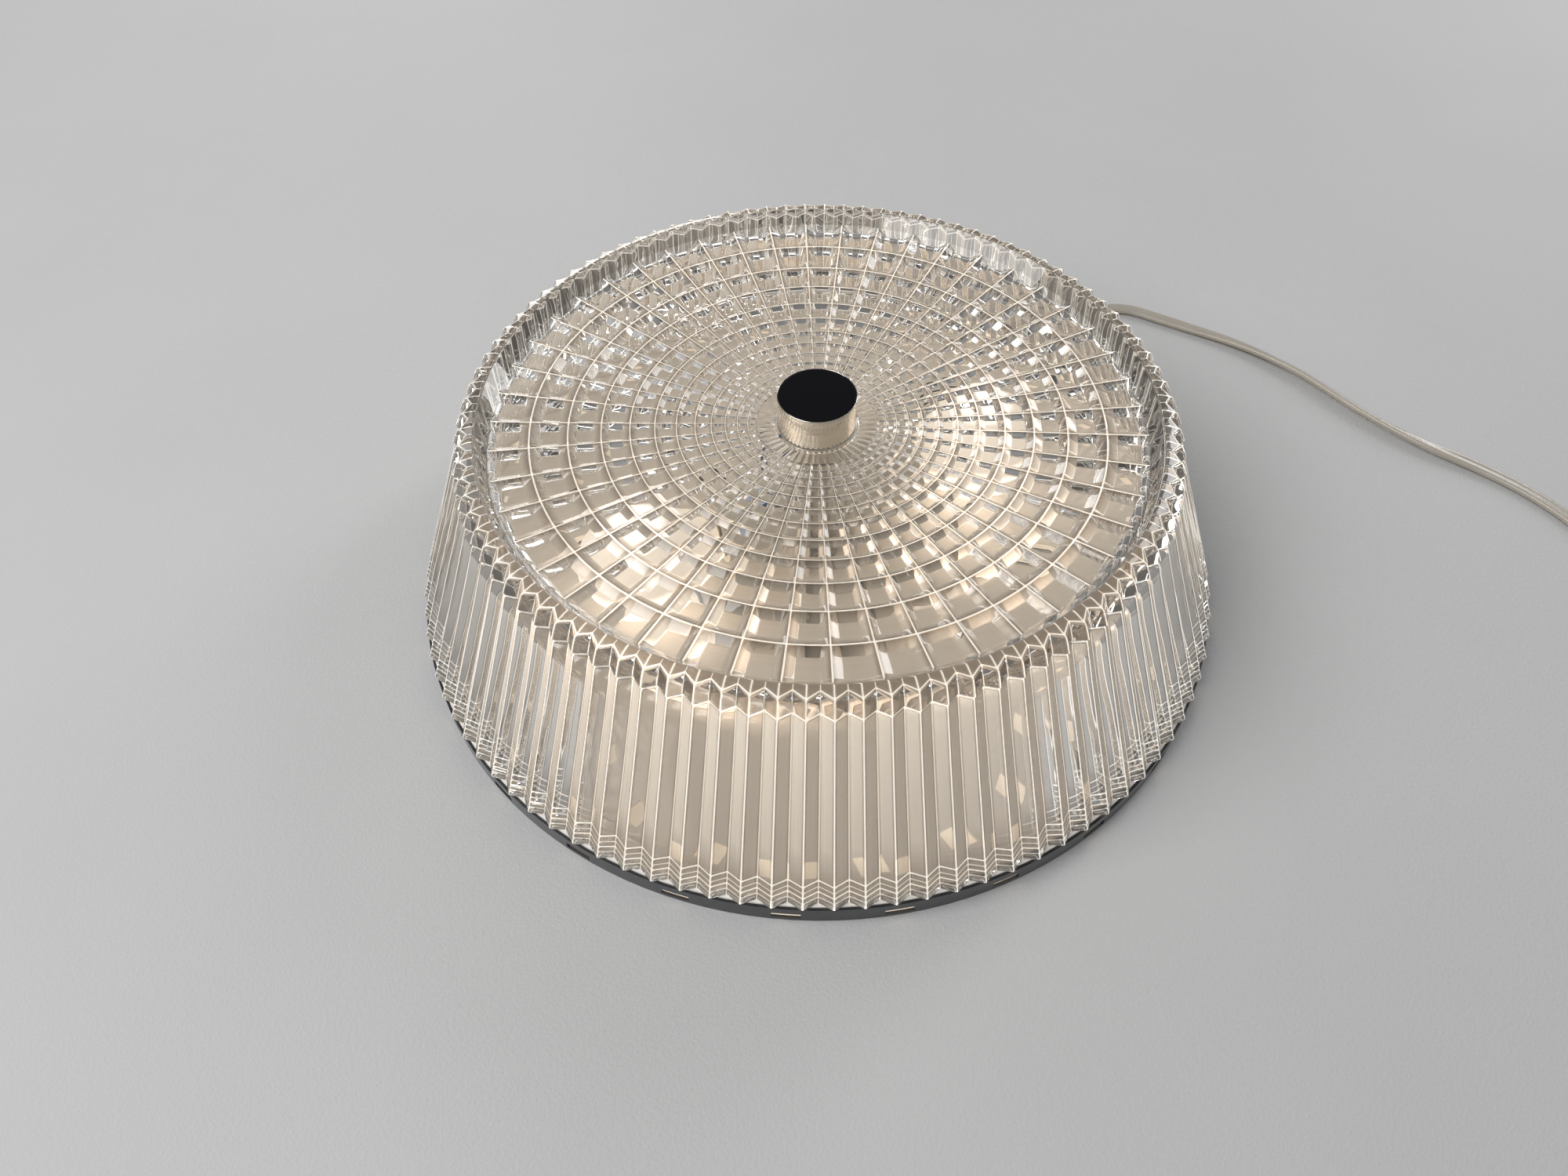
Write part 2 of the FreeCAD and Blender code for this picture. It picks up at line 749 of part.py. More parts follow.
# Lampholders, shells and contacts.
holder_back = bracket_half
holder_front = holder_back + size("holder_length")
holder_inside = holder_back + size("holder_floor")
holder_bore = shell_outer + size("shell_clearance")
contact_front = holder_inside + size("contact_height")
lamp_tip_start = contact_front + size("lamp_tip_gap")
cap_start = lamp_tip_start + size("lamp_tip_length") + size("insulator_length")
cap_end = cap_start + size("cap_length")
neck_start = cap_end + size("cap_skirt_length")
globe_centre = neck_start + size("globe_neck_length")
half_turn = lamp_angle + 180.0
for number, turn in ((1, lamp_angle), (2, half_turn)):
    holder = new_body("lampholder_%d" % number)
    revolve(
        holder,
        "holder_turning_%d" % number,
        [
            (holder_back, 0),
            (holder_inside, 0),
            (holder_inside, holder_bore),
            (holder_front, holder_bore),
            (holder_front, size("holder_radius")),
            (holder_back + size("holder_base_length"), size("holder_radius")),
            (holder_back + size("holder_base_length"), size("holder_base_radius")),
            (holder_back, size("holder_base_radius")),
        ],
        axis="H_Axis",
    )
    blind_holes = new_sketch(holder, "holder_screw_holes_%d" % number, "YZ_Plane", height=holder_back)
    for side in (holder_screw_reach, -holder_screw_reach):
        circle(blind_holes, (side, 0), holder_screw_radius)
    depth = size("holder_screw_depth")
    pocket(holder, "holder_screw_pocket_%d" % number, blind_holes, depth, against_normal=False)
    place_on_lamp_axis(holder, turn)

    shell = new_body("socket_shell_%d" % number)
    revolve(
        shell,
        "shell_turning_%d" % number,
        [
            (contact_front, shell_inner),
            (holder_front - 1.0, shell_inner),
            (holder_front - 1.0, shell_outer),
            (contact_front, shell_outer),
        ],
        axis="H_Axis",
    )
    place_on_lamp_axis(shell, turn)

    contact = new_body("centre_contact_%d" % number)
    revolve(
        contact,
        "contact_turning_%d" % number,
        [
            (holder_inside, 0),
            (contact_front, 0),
            (contact_front, size("contact_radius")),
            (holder_inside, size("contact_radius")),
        ],
        axis="H_Axis",
    )
    place_on_lamp_axis(contact, turn)

# Four screws hold the two lampholders; their heads are between the bracket's upright ends.
holder_screws = []
for out in (1.0, -1.0):
    for side in (1.0, -1.0):
        seat = vector(out * bracket_inner.value, side * holder_screw_reach.value, lamp_axis.value)
        holder_screws.append(
            screw(
                seat,
                size("holder_screw_head_radius").value,
                size("holder_screw_head_height").value,
                holder_screw_radius.value - 0.1,
                bracket_sheet.value + size("holder_screw_depth").value - 0.3,
                vector(-out, 0, 0),
            )
        )
solid_feature("holder_screws", Part.makeCompound(holder_screws))

# Lamps.
# A frosted round globe on a screw cap; the black insulator carries the tip contact.
for number, turn in ((1, lamp_angle), (2, half_turn)):
    globe = new_body("lamp_globe_%d" % number)
    globe_sketch = new_sketch(globe, "globe_outline_%d" % number, "XZ_Plane")
    centre = globe_centre
    radius = size("globe_radius")
    neck = size("globe_neck_radius")
    gap = centre.value - neck_start.value
    reach = math.hypot(gap, neck.value)
    lean = math.atan2(neck.value, -gap) - math.acos(radius.value / reach)
    touch = (centre.value + radius.value * math.cos(lean), radius.value * math.sin(lean))
    whole = Part.Circle(vector(centre.value, 0, 0), vector(0, 0, 1), radius.value)
    globe_sketch.addGeometry(Part.ArcOfCircle(whole, 0, lean), False)
    neck_corner = vector(neck_start.value, neck.value, 0)
    globe_sketch.addGeometry(Part.LineSegment(vector(touch[0], touch[1], 0), neck_corner), False)
    globe_sketch.addGeometry(Part.LineSegment(neck_corner, vector(neck_start.value, 0, 0)), False)
    far_end = vector(centre.value + radius.value, 0, 0)
    globe_sketch.addGeometry(Part.LineSegment(vector(neck_start.value, 0, 0), far_end), False)
    globe_sketch.addConstraint(Sketcher.Constraint("Tangent", 0, 2, 1, 1))
    globe_sketch.addConstraint(Sketcher.Constraint("Coincident", 1, 2, 2, 1))
    globe_sketch.addConstraint(Sketcher.Constraint("Coincident", 2, 2, 3, 1))
    globe_sketch.addConstraint(Sketcher.Constraint("Coincident", 3, 2, 0, 1))
    globe_sketch.addConstraint(Sketcher.Constraint("PointOnObject", 0, 1, -1))
    globe_sketch.addConstraint(Sketcher.Constraint("PointOnObject", 0, 3, -1))
    bound = globe_sketch.addConstraint(Sketcher.Constraint("Radius", 0, radius.value))
    globe_sketch.setExpression("Constraints[%d]" % bound, radius.text)
    bound = globe_sketch.addConstraint(Sketcher.Constraint("DistanceX", -1, 1, 0, 3, centre.value))
    globe_sketch.setExpression("Constraints[%d]" % bound, centre.text)
    hold(globe_sketch, 1, 2, (neck_start, neck))
    hold(globe_sketch, 2, 2, (neck_start, 0))
    blown = globe.newObject("PartDesign::Revolution", "globe_%d" % number)
    blown.Profile = globe_sketch
    blown.ReferenceAxis = (globe_sketch, ["H_Axis"])
    blown.Angle = 360
    doc.recompute()
    place_on_lamp_axis(globe, turn)

    cap = new_body("lamp_cap_%d" % number)
    revolve(
        cap,
        "cap_turning_%d" % number,
        [
            (cap_start, 0),
            (neck_start, 0),
            (neck_start, size("cap_skirt_radius")),
            (cap_end, size("cap_radius")),
            (cap_start, size("cap_radius")),
        ],
        axis="H_Axis",
    )
    place_on_lamp_axis(cap, turn)

    insulator = new_body("lamp_insulator_%d" % number)
    tip_end = lamp_tip_start + size("lamp_tip_length")
    revolve(
        insulator,
        "insulator_turning_%d" % number,
        [
            (lamp_tip_start, 0),
            (cap_start, 0),
            (cap_start, size("insulator_radius")),
            (tip_end, size("lamp_tip_radius") + 0.8),
            (tip_end, size("lamp_tip_radius")),
            (lamp_tip_start, size("lamp_tip_radius")),
        ],
        axis="H_Axis",
    )
    place_on_lamp_axis(insulator, turn)

# Terminal block.
block_half = size("block_length") / 2.0
block_side = size("block_width") / 2.0
block_top = tray_top + size("block_height")
bore_height = tray_top + size("block_bore_height")
pole = size("block_pole_spacing") / 2.0
block_bore = size("block_bore_radius")
screw_step = size("block_screw_spacing") / 2.0
terminal_radius = size("block_screw_radius")
block = new_body("terminal_block")
block_base = new_sketch(block, "block_outline", "XY_Plane", height=tray_top)
rectangle(
    block_base,
    block_along - block_half,
    block_across - block_side,
    block_along + block_half,
    block_across + block_side,
)
circle(block_base, (block_along, block_across), size("block_fixing_radius") + 0.1)
pad(block, "block_moulding", block_base, size("block_height"))
tunnels = new_sketch(block, "tunnel_outline", "YZ_Plane", height=block_along + block_half)
for side in (pole, -pole):
    circle(tunnels, (block_across + side, bore_height), block_bore)
pocket(block, "tunnels", tunnels, size("block_length"))
screw_wells = new_sketch(block, "screw_well_outline", "XY_Plane", height=block_top)
for side in (pole, -pole):
    for end in (screw_step, -screw_step):
        circle(screw_wells, (block_along + end, block_across + side), terminal_radius + 0.2)
pocket(block, "screw_wells", screw_wells, block_top - bore_height)
fixing_well = new_sketch(block, "fixing_well_outline", "XY_Plane", height=block_top)
circle(fixing_well, (block_along, block_across), size("block_fixing_head_radius") + 0.2)
pocket(block, "fixing_well", fixing_well, size("block_fixing_head_height") + 2.0)
place_on_lamp_line(block)

sleeves = []
terminal_screws = []
sleeve_inner = block_bore.value - size("block_sleeve_wall").value
sleeve_start = block_along.value - block_half.value + 1.0
for side in (pole.value, -pole.value):
    mouth = vector(sleeve_start, block_across.value + side, bore_height.value)
    length = size("block_length").value - 2.0
    sleeve = Part.makeCylinder(block_bore.value - 0.05, length, mouth, vector(1, 0, 0))
    sleeve = sleeve.cut(Part.makeCylinder(sleeve_inner, length, mouth, vector(1, 0, 0)))
    for end in (screw_step.value, -screw_step.value):
        foot = vector(block_along.value + end, block_across.value + side, bore_height.value)
        well = Part.makeCylinder(terminal_radius.value + 0.1, block_bore.value + 1.0, foot)
        sleeve = sleeve.cut(well)
        bottom = foot + vector(0, 0, sleeve_inner - 0.2)
        height = block_top.value - size("block_screw_recess").value - bottom.z
        terminal_screws.append(Part.makeCylinder(terminal_radius.value, height, bottom))
    sleeves.append(sleeve)
solid_feature("terminal_sleeves", Part.makeCompound(sleeves))
solid_feature("terminal_screws", Part.makeCompound(terminal_screws))
fixing_seat = block_top.value - size("block_fixing_head_height").value - 2.0
fixing_length = fixing_seat - tray_under.value + 0.6
solid_feature(
    "block_fixing_screw",
    screw(
        vector(block_along.value, block_across.value, fixing_seat),
        size("block_fixing_head_radius").value,
        size("block_fixing_head_height").value,
        size("block_fixing_radius").value,
        fixing_length,
    ),
)

# Lead clamp.
# A saddle over the lead, held by two screws into the tray.
lead_top = tray_top + lead_thickness
clamp_base = size("clamp_span") / 2.0
clamp_arm = lead_width / 2.0 + 0.4
clamp_top = lead_top + size("clamp_height")
clamp = new_body("lead_clamp")
clamp_outline = new_sketch(clamp, "clamp_outline", "YZ_Plane", height=clamp_along)
outline(
    clamp_outline,
    [
        (clamp_across - clamp_base, tray_top),
        (clamp_across - clamp_arm, tray_top),
        (clamp_across - clamp_arm, lead_top + 0.1),
        (clamp_across + clamp_arm, lead_top + 0.1),
        (clamp_across + clamp_arm, tray_top),
        (clamp_across + clamp_base, tray_top),
        (clamp_across + clamp_base, clamp_top),
        (clamp_across - clamp_base, clamp_top),
    ],
)
pad(clamp, "clamp_saddle", clamp_outline, size("clamp_length"), both_ways=True)
clamp_holes = new_sketch(clamp, "clamp_hole_outline", "XY_Plane", height=clamp_top)
for side in (clamp_screw_reach, -clamp_screw_reach):
    circle(clamp_holes, (clamp_along, clamp_across + side), clamp_screw_hole)
pocket(clamp, "clamp_holes", clamp_holes, clamp_top - tray_top + 1.0)
place_on_lamp_line(clamp)
clamp_screws = []
for side in (clamp_screw_reach.value, -clamp_screw_reach.value):
    clamp_screws.append(
        screw(
            vector(clamp_along.value, clamp_across.value + side, clamp_top.value),
            size("clamp_screw_head_radius").value,
            size("clamp_screw_head_height").value,
            size("clamp_screw_radius").value,
            clamp_top.value - tray_under.value + 0.6,
        )
    )
solid_feature("clamp_screws", Part.makeCompound(clamp_screws))

# Wiring inside.
# The block feeds the first holder and a second pair of wires goes on to the other one.
# A terminal is on the side of a holder's base, at an angle above or below the lamp axis.
wire = size("wire_radius").value
wire_exit = block_along.value - block_half.value
terminal_out = holder_back.value + size("holder_base_length").value / 2
terminal_reach = size("holder_base_radius").value + 0.3


def terminal(out, angle, reach):
    """A point outside a holder's terminal, given in lamp-line axes."""
    lean = math.radians(angle)
    return (out, reach * math.cos(lean), lamp_axis.value + reach * math.sin(lean))


live_start = block_across.value - pole.value
neutral_start = block_across.value + pole.value
wire_level = bore_height.value
live_feed = [
    (wire_exit + 6.0, live_start, wire_level),
    (wire_exit - 4.0, live_start, wire_level),
    (wire_exit - 10.0, live_start - 6.0, wire_level + 5.0),
    terminal(terminal_out, -22, terminal_reach + 13.0),
    terminal(terminal_out, -22, terminal_reach),
]
neutral_feed = [
    (wire_exit + 6.0, neutral_start, wire_level),
    (wire_exit - 4.0, neutral_start, wire_level),
    (wire_exit - 6.5, neutral_start - 3.5, wire_level + 7.0),
    (wire_exit - 10.5, neutral_start - 13.0, wire_level + 21.0),
    terminal(terminal_out, 22, terminal_reach + 12.0),
    terminal(terminal_out, 22, terminal_reach),
]


def link(angle):
    """A wire from one holder to the other, bowed clear of the bracket."""
    half = [
        terminal(terminal_out, angle, terminal_reach),
        terminal(terminal_out - 1.5, angle, terminal_reach + 8.5),
        terminal(terminal_out / 2.6, angle, terminal_reach + 12.0),
    ]
    return half + [(-x, y, z) for x, y, z in reversed(half)]


live_wires = [round_tube(live_feed, wire, "live feed"), round_tube(link(-42), wire, "live link")]
neutral_wires = [
    round_tube(neutral_feed, wire, "neutral feed"),
    round_tube(link(42), wire, "neutral link"),
]
solid_feature("live_wires", Part.makeCompound(live_wires))
solid_feature("neutral_wires", Part.makeCompound(neutral_wires))

# Lead inside the pan.
# From the skirt's notch the flat lead runs over the pan floor, up through the tray's
# grommet and under the clamp; there its two cores part and enter the terminal block.
notch_turn = math.radians(lead_turn.value - 90.0 - lamp_angle.value)
skirt = pan_radius.value
low_level = pan_wall.value + lead_thickness.value / 2
high_level = tray_top.value + lead_thickness.value / 2
lip_level = high_level + lip_height.value + 0.35
hatch_along, hatch_across = size("grommet_along").value, size("grommet_across").value
hatch_half = size("grommet_bore_radius").value
clamp_x, clamp_y = clamp_along.value, clamp_across.value
lead_end = clamp_x - size("clamp_length").value / 2 - 1.0
lead_inside = [
    (skirt * math.cos(notch_turn), skirt * math.sin(notch_turn), low_level),
    ((skirt - 13.0) * math.cos(notch_turn), (skirt - 13.0) * math.sin(notch_turn), low_level),
    (hatch_along + hatch_half - 1.0, hatch_across + 1.2, low_level),
    (hatch_along - hatch_half + 2.5, hatch_across - 1.0, lip_level + 0.6),
    (hatch_along - hatch_half - 7.0, hatch_across - 3.0, lip_level - 0.3),
    (clamp_x + 7.0, clamp_y, high_level),
    (lead_end, clamp_y, high_level),
]
lead_held = flat_tube(lead_inside, lead_width.value, lead_thickness.value, "lead inside")
solid_feature("supply_lead_inside", lead_held)

core = lead_thickness.value / 2 - 0.3
core_entry = block_along.value + block_half.value
cores = []
for side in (1.0, -1.0):
    start_y = clamp_y + side * lead_thickness.value / 2
    pole_y = block_across.value + side * pole.value
    cores.append(
        round_tube(
            [
                (lead_end, start_y, high_level),
                (lead_end - 3.6, start_y, high_level),
                (core_entry + 2.8, pole_y - side * 0.4, wire_level - 0.2),
                (core_entry - 2.0, pole_y, wire_level),
            ],
            core,
            "lead core",
        )
    )
solid_feature("lead_cores", Part.makeCompound(cores))

# Glass shade.
# Plan positions are given from the front (-Y) towards +X, as the ribs were counted.
rib_count = int(size("rib_count").value)
spoke_count = rib_count // 2
rib_step = 2 * math.pi / rib_count
rib_first = math.radians(size("rib_first_angle").value)
shade_foot = glass_bottom.value
shade_top = shade_foot + size("shade_height").value


def around(radius, step, height):
    """A point of the shade, step ribs round from the first one."""
    angle = rib_first + step * rib_step
    return (radius * math.sin(angle), -radius * math.cos(angle), height)


def facet(*points):
    """A plane face through three or more corners."""
    corners = [vector(*point) for point in points]
    return Part.Face(Part.makePolygon(corners + corners[:1]))


def ribbed_ring(tip_radius, valley_radius, height):
    """The corners of a ribbed outline: rib tips, with a valley between each two."""
    ring = []
    for k in range(rib_count):
        ring.append(around(tip_radius, k, height))
        ring.append(around(valley_radius, k + 0.5, height))
    return ring


def band(lower, upper):
    """Plane faces between two rings of equally many corners."""
    count = len(lower)
    faces = []
    for k in range(count):
        after = (k + 1) % count
        faces.append(facet(lower[k], lower[after], upper[after], upper[k]))
    return faces


def crest_height(radius):
    """Height of the dished face's crest lines."""
    curve = size("crest_slope").value * radius + size("crest_curve").value * radius**2
    return crest_centre.value + curve


class Cell:
    """One sunk cell of the face, measured along and across its own middle line.

    Its rim lies on the crest lines, and its floor runs parallel to them."""

    def __init__(self, outer, inner, step):
        self.middle = rib_first + (step + 1) * rib_step
        self.outer = outer * math.cos(rib_step)
        self.inner = inner * math.cos(rib_step)
        self.high = crest_height(outer)
        self.slope = (self.high - crest_height(inner)) / (self.outer - self.inner)
        width = outer - inner
        self.depth = size("cell_depth").value * width
        self.side = size("cell_spoke_slope").value * width / math.cos(rib_step)
        self.end = size("cell_ring_slope").value * width

    def place(self, along, sunk):
        """The two corners, left and right, of the rim or of the sunk floor at a distance out."""
        across = along * math.tan(rib_step) - (self.side if sunk else 0.0)
        height = self.high + (along - self.outer) * self.slope - (self.depth if sunk else 0.0)
        corners = []
        for reach in (-across, across):
            x = along * math.sin(self.middle) + reach * math.cos(self.middle)
            y = reach * math.sin(self.middle) - along * math.cos(self.middle)
            corners.append((x, y, height))
        return corners

    def faces(self, floor_end):
        """The floor, the two spoke slopes and the inner slope; the floor ends at floor_end."""
        outer_left, outer_right = self.place(self.outer, False)
        inner_left, inner_right = self.place(self.inner, False)
        self.floor_left, self.floor_right = self.place(floor_end, True)
        low_left, low_right = self.place(self.inner + self.end, True)
        return [
            facet(self.floor_left, self.floor_right, low_right, low_left),
            facet(outer_left, self.floor_left, low_left, inner_left),
            facet(outer_right, inner_right, low_right, self.floor_right),
            facet(inner_left, low_left, low_right, inner_right),
        ]

    def closed(self):
        """A cell with a slope at its outer end too."""
        faces = self.faces(self.outer - self.end)
        outer_left, outer_right = self.place(self.outer, False)
        faces.append(facet(outer_left, outer_right, self.floor_right, self.floor_left))
        return faces

    def open(self, crown_left, crown_right):
        """An outermost cell: its floor runs out to the crown's slope, which comes down to it."""
        rise = crown_left[2] - self.high
        run = math.hypot(crown_left[0], crown_left[1]) * math.cos(rib_step) - self.outer
        faces = self.faces(self.outer - self.depth / (rise / run - self.slope))
        outer_left, outer_right = self.place(self.outer, False)
        rim = (outer_left, crown_left, crown_right, outer_right)
        faces.append(facet(*rim, self.floor_right, self.floor_left))
        return faces


# Outside: ribbed wall, a collar that stands a little proud, and the flat top of the crown.
base_tip = shade_radius.value
base_valley = base_tip - size("rib_depth").value
top_tip = base_tip - size("shade_taper").value
lean = size("shade_taper").value / size("shade_height").value
collar_height = size("collar_height").value
collar_level = shade_top - collar_height
wall_tip = top_tip + lean * collar_height
wall_valley = wall_tip * base_valley / base_tip
collar_tip = wall_tip + size("collar_proud").value
top_valley = top_tip - size("collar_rib_depth").value
collar_valley = collar_tip * top_valley / top_tip
foot_ring = ribbed_ring(base_tip, base_valley, shade_foot)
wall_ring = ribbed_ring(wall_tip, wall_valley, collar_level)
collar_ring = ribbed_ring(collar_tip, collar_valley, collar_level)
top_ring = ribbed_ring(top_tip, top_valley, shade_top)
faces = band(foot_ring, wall_ring) + band(wall_ring, collar_ring) + band(collar_ring, top_ring)
crown_radius = top_tip - size("crown_width").value
crown_ring = [around(crown_radius, 2 * k, shade_top) for k in range(spoke_count)]
crown_wires = [
    Part.makePolygon([vector(*point) for point in ring + ring[:1]])
    for ring in (top_ring, crown_ring)
]
crown_top = Part.makeFace(crown_wires, "Part::FaceMakerBullseye")
faces.append(crown_top)

# The sunburst face: rings of sunk cells that shrink inwards. The outermost ones are open to
# the smooth slope that comes down from the crown.
face_radius = crown_radius - size("face_edge_width").value
outer_ring = face_radius - size("outer_cell_length").value
rings = [outer_ring / size("ring_ratio").value ** k for k in range(int(size("ring_count").value))]
for k in range(spoke_count):
    outermost = Cell(face_radius, outer_ring, 2 * k)
    faces += outermost.open(crown_ring[k], crown_ring[(k + 1) % spoke_count])
    for outer, inner in zip(rings, rings[1:]):
        faces += Cell(outer, inner, 2 * k).closed()

# The innermost ring is fluted, and a flat seat for the knob is sunk inside it.
flute_radius = size("flute_inner_radius").value
flute_top = crest_height(flute_radius)
flute_low = flute_top - size("flute_depth").value
seat = seat_height.value
flute_ring = []
seat_ring = []
for k in range(spoke_count):
    outer_start = around(rings[-1], 2 * k, crest_height(rings[-1]))
    outer_end = around(rings[-1], 2 * k + 2, crest_height(rings[-1]))
    crest = around(flute_radius, 2 * k, flute_top)
    valley = around(flute_radius, 2 * k + 1, flute_low)
    next_crest = around(flute_radius, 2 * k + 2, flute_top)
    faces.append(facet(outer_start, valley, crest))
    faces.append(facet(outer_start, outer_end, valley))
    faces.append(facet(outer_end, next_crest, valley))
    flute_ring += [crest, valley]
    seat_ring += [around(flute_radius, 2 * k, seat), around(flute_radius, 2 * k + 1, seat)]
faces += band(seat_ring, flute_ring)
faces.append(Part.Face(Part.makePolygon([vector(*point) for point in seat_ring + seat_ring[:1]])))
faces.append(Part.Face(Part.makePolygon([vector(*point) for point in foot_ring + foot_ring[:1]])))
pressing = Part.Solid(Part.Shell(faces))
if pressing.Volume < 0:
    pressing.reverse()

# Inside: a plain turned form, with a hole for the stud.
hole = size("shade_hole_radius").value
inner_foot = base_valley - size("glass_wall").value
face_thickness = size("glass_face_thickness").value
ceiling_edge = inner_foot - lean * (crest_height(face_radius) - face_thickness - shade_foot)
ceiling_level = crest_height(ceiling_edge) - face_thickness
hollow_foot = vector(inner_foot + lean, 0, shade_foot - 1.0)
hollow_corner = vector(ceiling_edge, 0, ceiling_level)
hollow_hole = vector(hole, 0, crest_height(hole) - face_thickness)
down = hollow_foot - hollow_corner
inward = hollow_hole - hollow_corner
down.normalize()
inward.normalize()
half_bend = (math.pi - down.getAngle(inward)) / 2
bend_radius = size("glass_inner_fillet").value
bisector = down + inward
bisector.normalize()
bend_start = hollow_corner + down * (bend_radius * math.tan(half_bend))
bend_end = hollow_corner + inward * (bend_radius * math.tan(half_bend))
bend_middle = hollow_corner + bisector * (bend_radius / math.cos(half_bend) - bend_radius)
hollow_edges = [
    Part.LineSegment(vector(0, 0, shade_foot - 1.0), hollow_foot).toShape(),
    Part.LineSegment(hollow_foot, bend_start).toShape(),
    Part.Arc(bend_start, bend_middle, bend_end).toShape(),
    Part.LineSegment(bend_end, hollow_hole).toShape(),
    Part.LineSegment(hollow_hole, vector(hole, 0, seat + 1.0)).toShape(),
    Part.LineSegment(vector(hole, 0, seat + 1.0), vector(0, 0, seat + 1.0)).toShape(),
    Part.LineSegment(vector(0, 0, seat + 1.0), vector(0, 0, shade_foot - 1.0)).toShape(),
]
hollow = Part.Face(Part.Wire(hollow_edges)).revolve(vector(0, 0, 0), vector(0, 0, 1), 360)
if hollow.Volume < 0:
    hollow.reverse()
glass = pressing.cut(hollow)
solid_feature("glass_shade", glass.Solids[0], on_lamp_line=False)

# Knob and what it clamps.
gasket = new_body("shade_gasket")
revolve(
    gasket,
    "gasket_ring",
    [
        (size("gasket_hole_radius"), seat_height),
        (size("gasket_radius"), seat_height),
        (size("gasket_radius"), washer_bottom),
        (size("gasket_hole_radius"), washer_bottom),
    ],
)
thread = stud_radius + size("thread_clearance")
washer = new_body("knob_washer")
revolve(
    washer,
    "knob_washer_ring",
    [
        (thread, washer_bottom),
        (size("knob_washer_radius"), washer_bottom),
        (size("knob_washer_radius"), knob_bottom),
        (thread, knob_bottom),
    ],
)

# The knob is a turned shell round a threaded insert, closed by a black disc.
knob_radius = size("knob_radius")
knob_inner = knob_radius - size("knob_wall")
chamfer = size("knob_edge_chamfer")
disc_top = knob_top - size("knob_disc_below_rim")
disc_bottom = disc_top - size("knob_disc_thickness")
insert_radius = size("knob_insert_radius")
knob = new_body("knob_shell")
revolve(
    knob,
    "knob_turning",
    [
        (insert_radius, knob_bottom),
        (knob_radius - chamfer, knob_bottom),
        (knob_radius, knob_bottom + chamfer),
        (knob_radius, knob_top - chamfer),
        (knob_radius - chamfer, knob_top),
        (knob_inner, knob_top),
        (knob_inner, disc_bottom),
        (insert_radius, disc_bottom),
    ],
)
insert = new_body("knob_insert")
insert_floor = stud_top + 0.4
revolve(
    insert,
    "insert_turning",
    [
        (thread, knob_bottom),
        (insert_radius, knob_bottom),
        (insert_radius, disc_bottom),
        (0, disc_bottom),
        (0, insert_floor),
        (thread, insert_floor),
    ],
)
disc = new_body("knob_disc")
revolve(
    disc,
    "disc_turning",
    [
        (0, disc_bottom),
        (knob_inner, disc_bottom),
        (knob_inner, disc_top - 0.2),
        (knob_inner - 0.2, disc_top),
        (0, disc_top),
    ],
)

# Lead outside the pan.
# It leaves the notch, comes down onto the floor and runs to a stored coil and its plug.
exit_turn = math.radians(lead_turn.value - 90.0)
floor_level = lead_thickness.value / 2
free_route = [
    (skirt * math.cos(exit_turn), skirt * math.sin(exit_turn), low_level),
    ((skirt + 17.0) * math.cos(exit_turn), (skirt + 17.0) * math.sin(exit_turn), low_level),
    (120.5, 156.5, floor_level + 0.1),
    (136.0, 168.5, floor_level),
    (155.0, 172.5, floor_level),
    (172.0, 163.0, floor_level),
    (188.0, 154.5, floor_level),
    (203.0, 146.0, floor_level),
    (217.0, 135.0, floor_level),
    (229.5, 122.5, floor_level),
    (240.5, 108.5, floor_level),
    (251.0, 94.5, floor_level),
    (263.0, 82.5, floor_level),
    (275.5, 71.8, floor_level),
    (289.0, 63.0, floor_level),
    (301.0, 54.2, floor_level),
    (312.0, 43.8, floor_level),
    (323.0, 30.0, floor_level),
    (332.5, 13.0, floor_level + 0.3),
    (338.5, -5.5, floor_level + 2.0),
    (340.2, -22.0, floor_level + 3.5),
]
free_lead = flat_tube(free_route, lead_width.value, lead_thickness.value, "supply cord")
solid_feature("supply_cord", free_lead, on_lamp_line=False)

bundle = size("coil_bundle_radius").value
coil = doc.addObject("Part::Torus", "cord_coil")
coil.Label = "cord_coil"
bind(coil, "Radius1", size("coil_radius"))
bind(coil, "Radius2", size("coil_bundle_radius"))
coil.Placement = FreeCAD.Placement(vector(0, 0, 0), FreeCAD.Rotation())
coil.setExpression("Placement.Base.x", size("coil_x").text)
coil.setExpression("Placement.Base.y", size("coil_y").text)
coil.setExpression("Placement.Base.z", size("coil_bundle_radius").text)
pieces.append(coil)

plug_x, plug_y = size("plug_x"), size("plug_y")
plug_level = size("plug_thickness") / 2.0
plug_half = size("plug_width") / 2.0
tail_start = size("coil_y").value + 8.0
tail_route = [
    (plug_x.value, tail_start, bundle),
    (plug_x.value, tail_start + 8.0, bundle),
    (plug_x.value, plug_y.value - size("plug_relief_length").value, plug_level.value),
]
tail = flat_tube(tail_route, lead_width.value, lead_thickness.value, "cord tail")
solid_feature("cord_tail", tail, on_lamp_line=False)

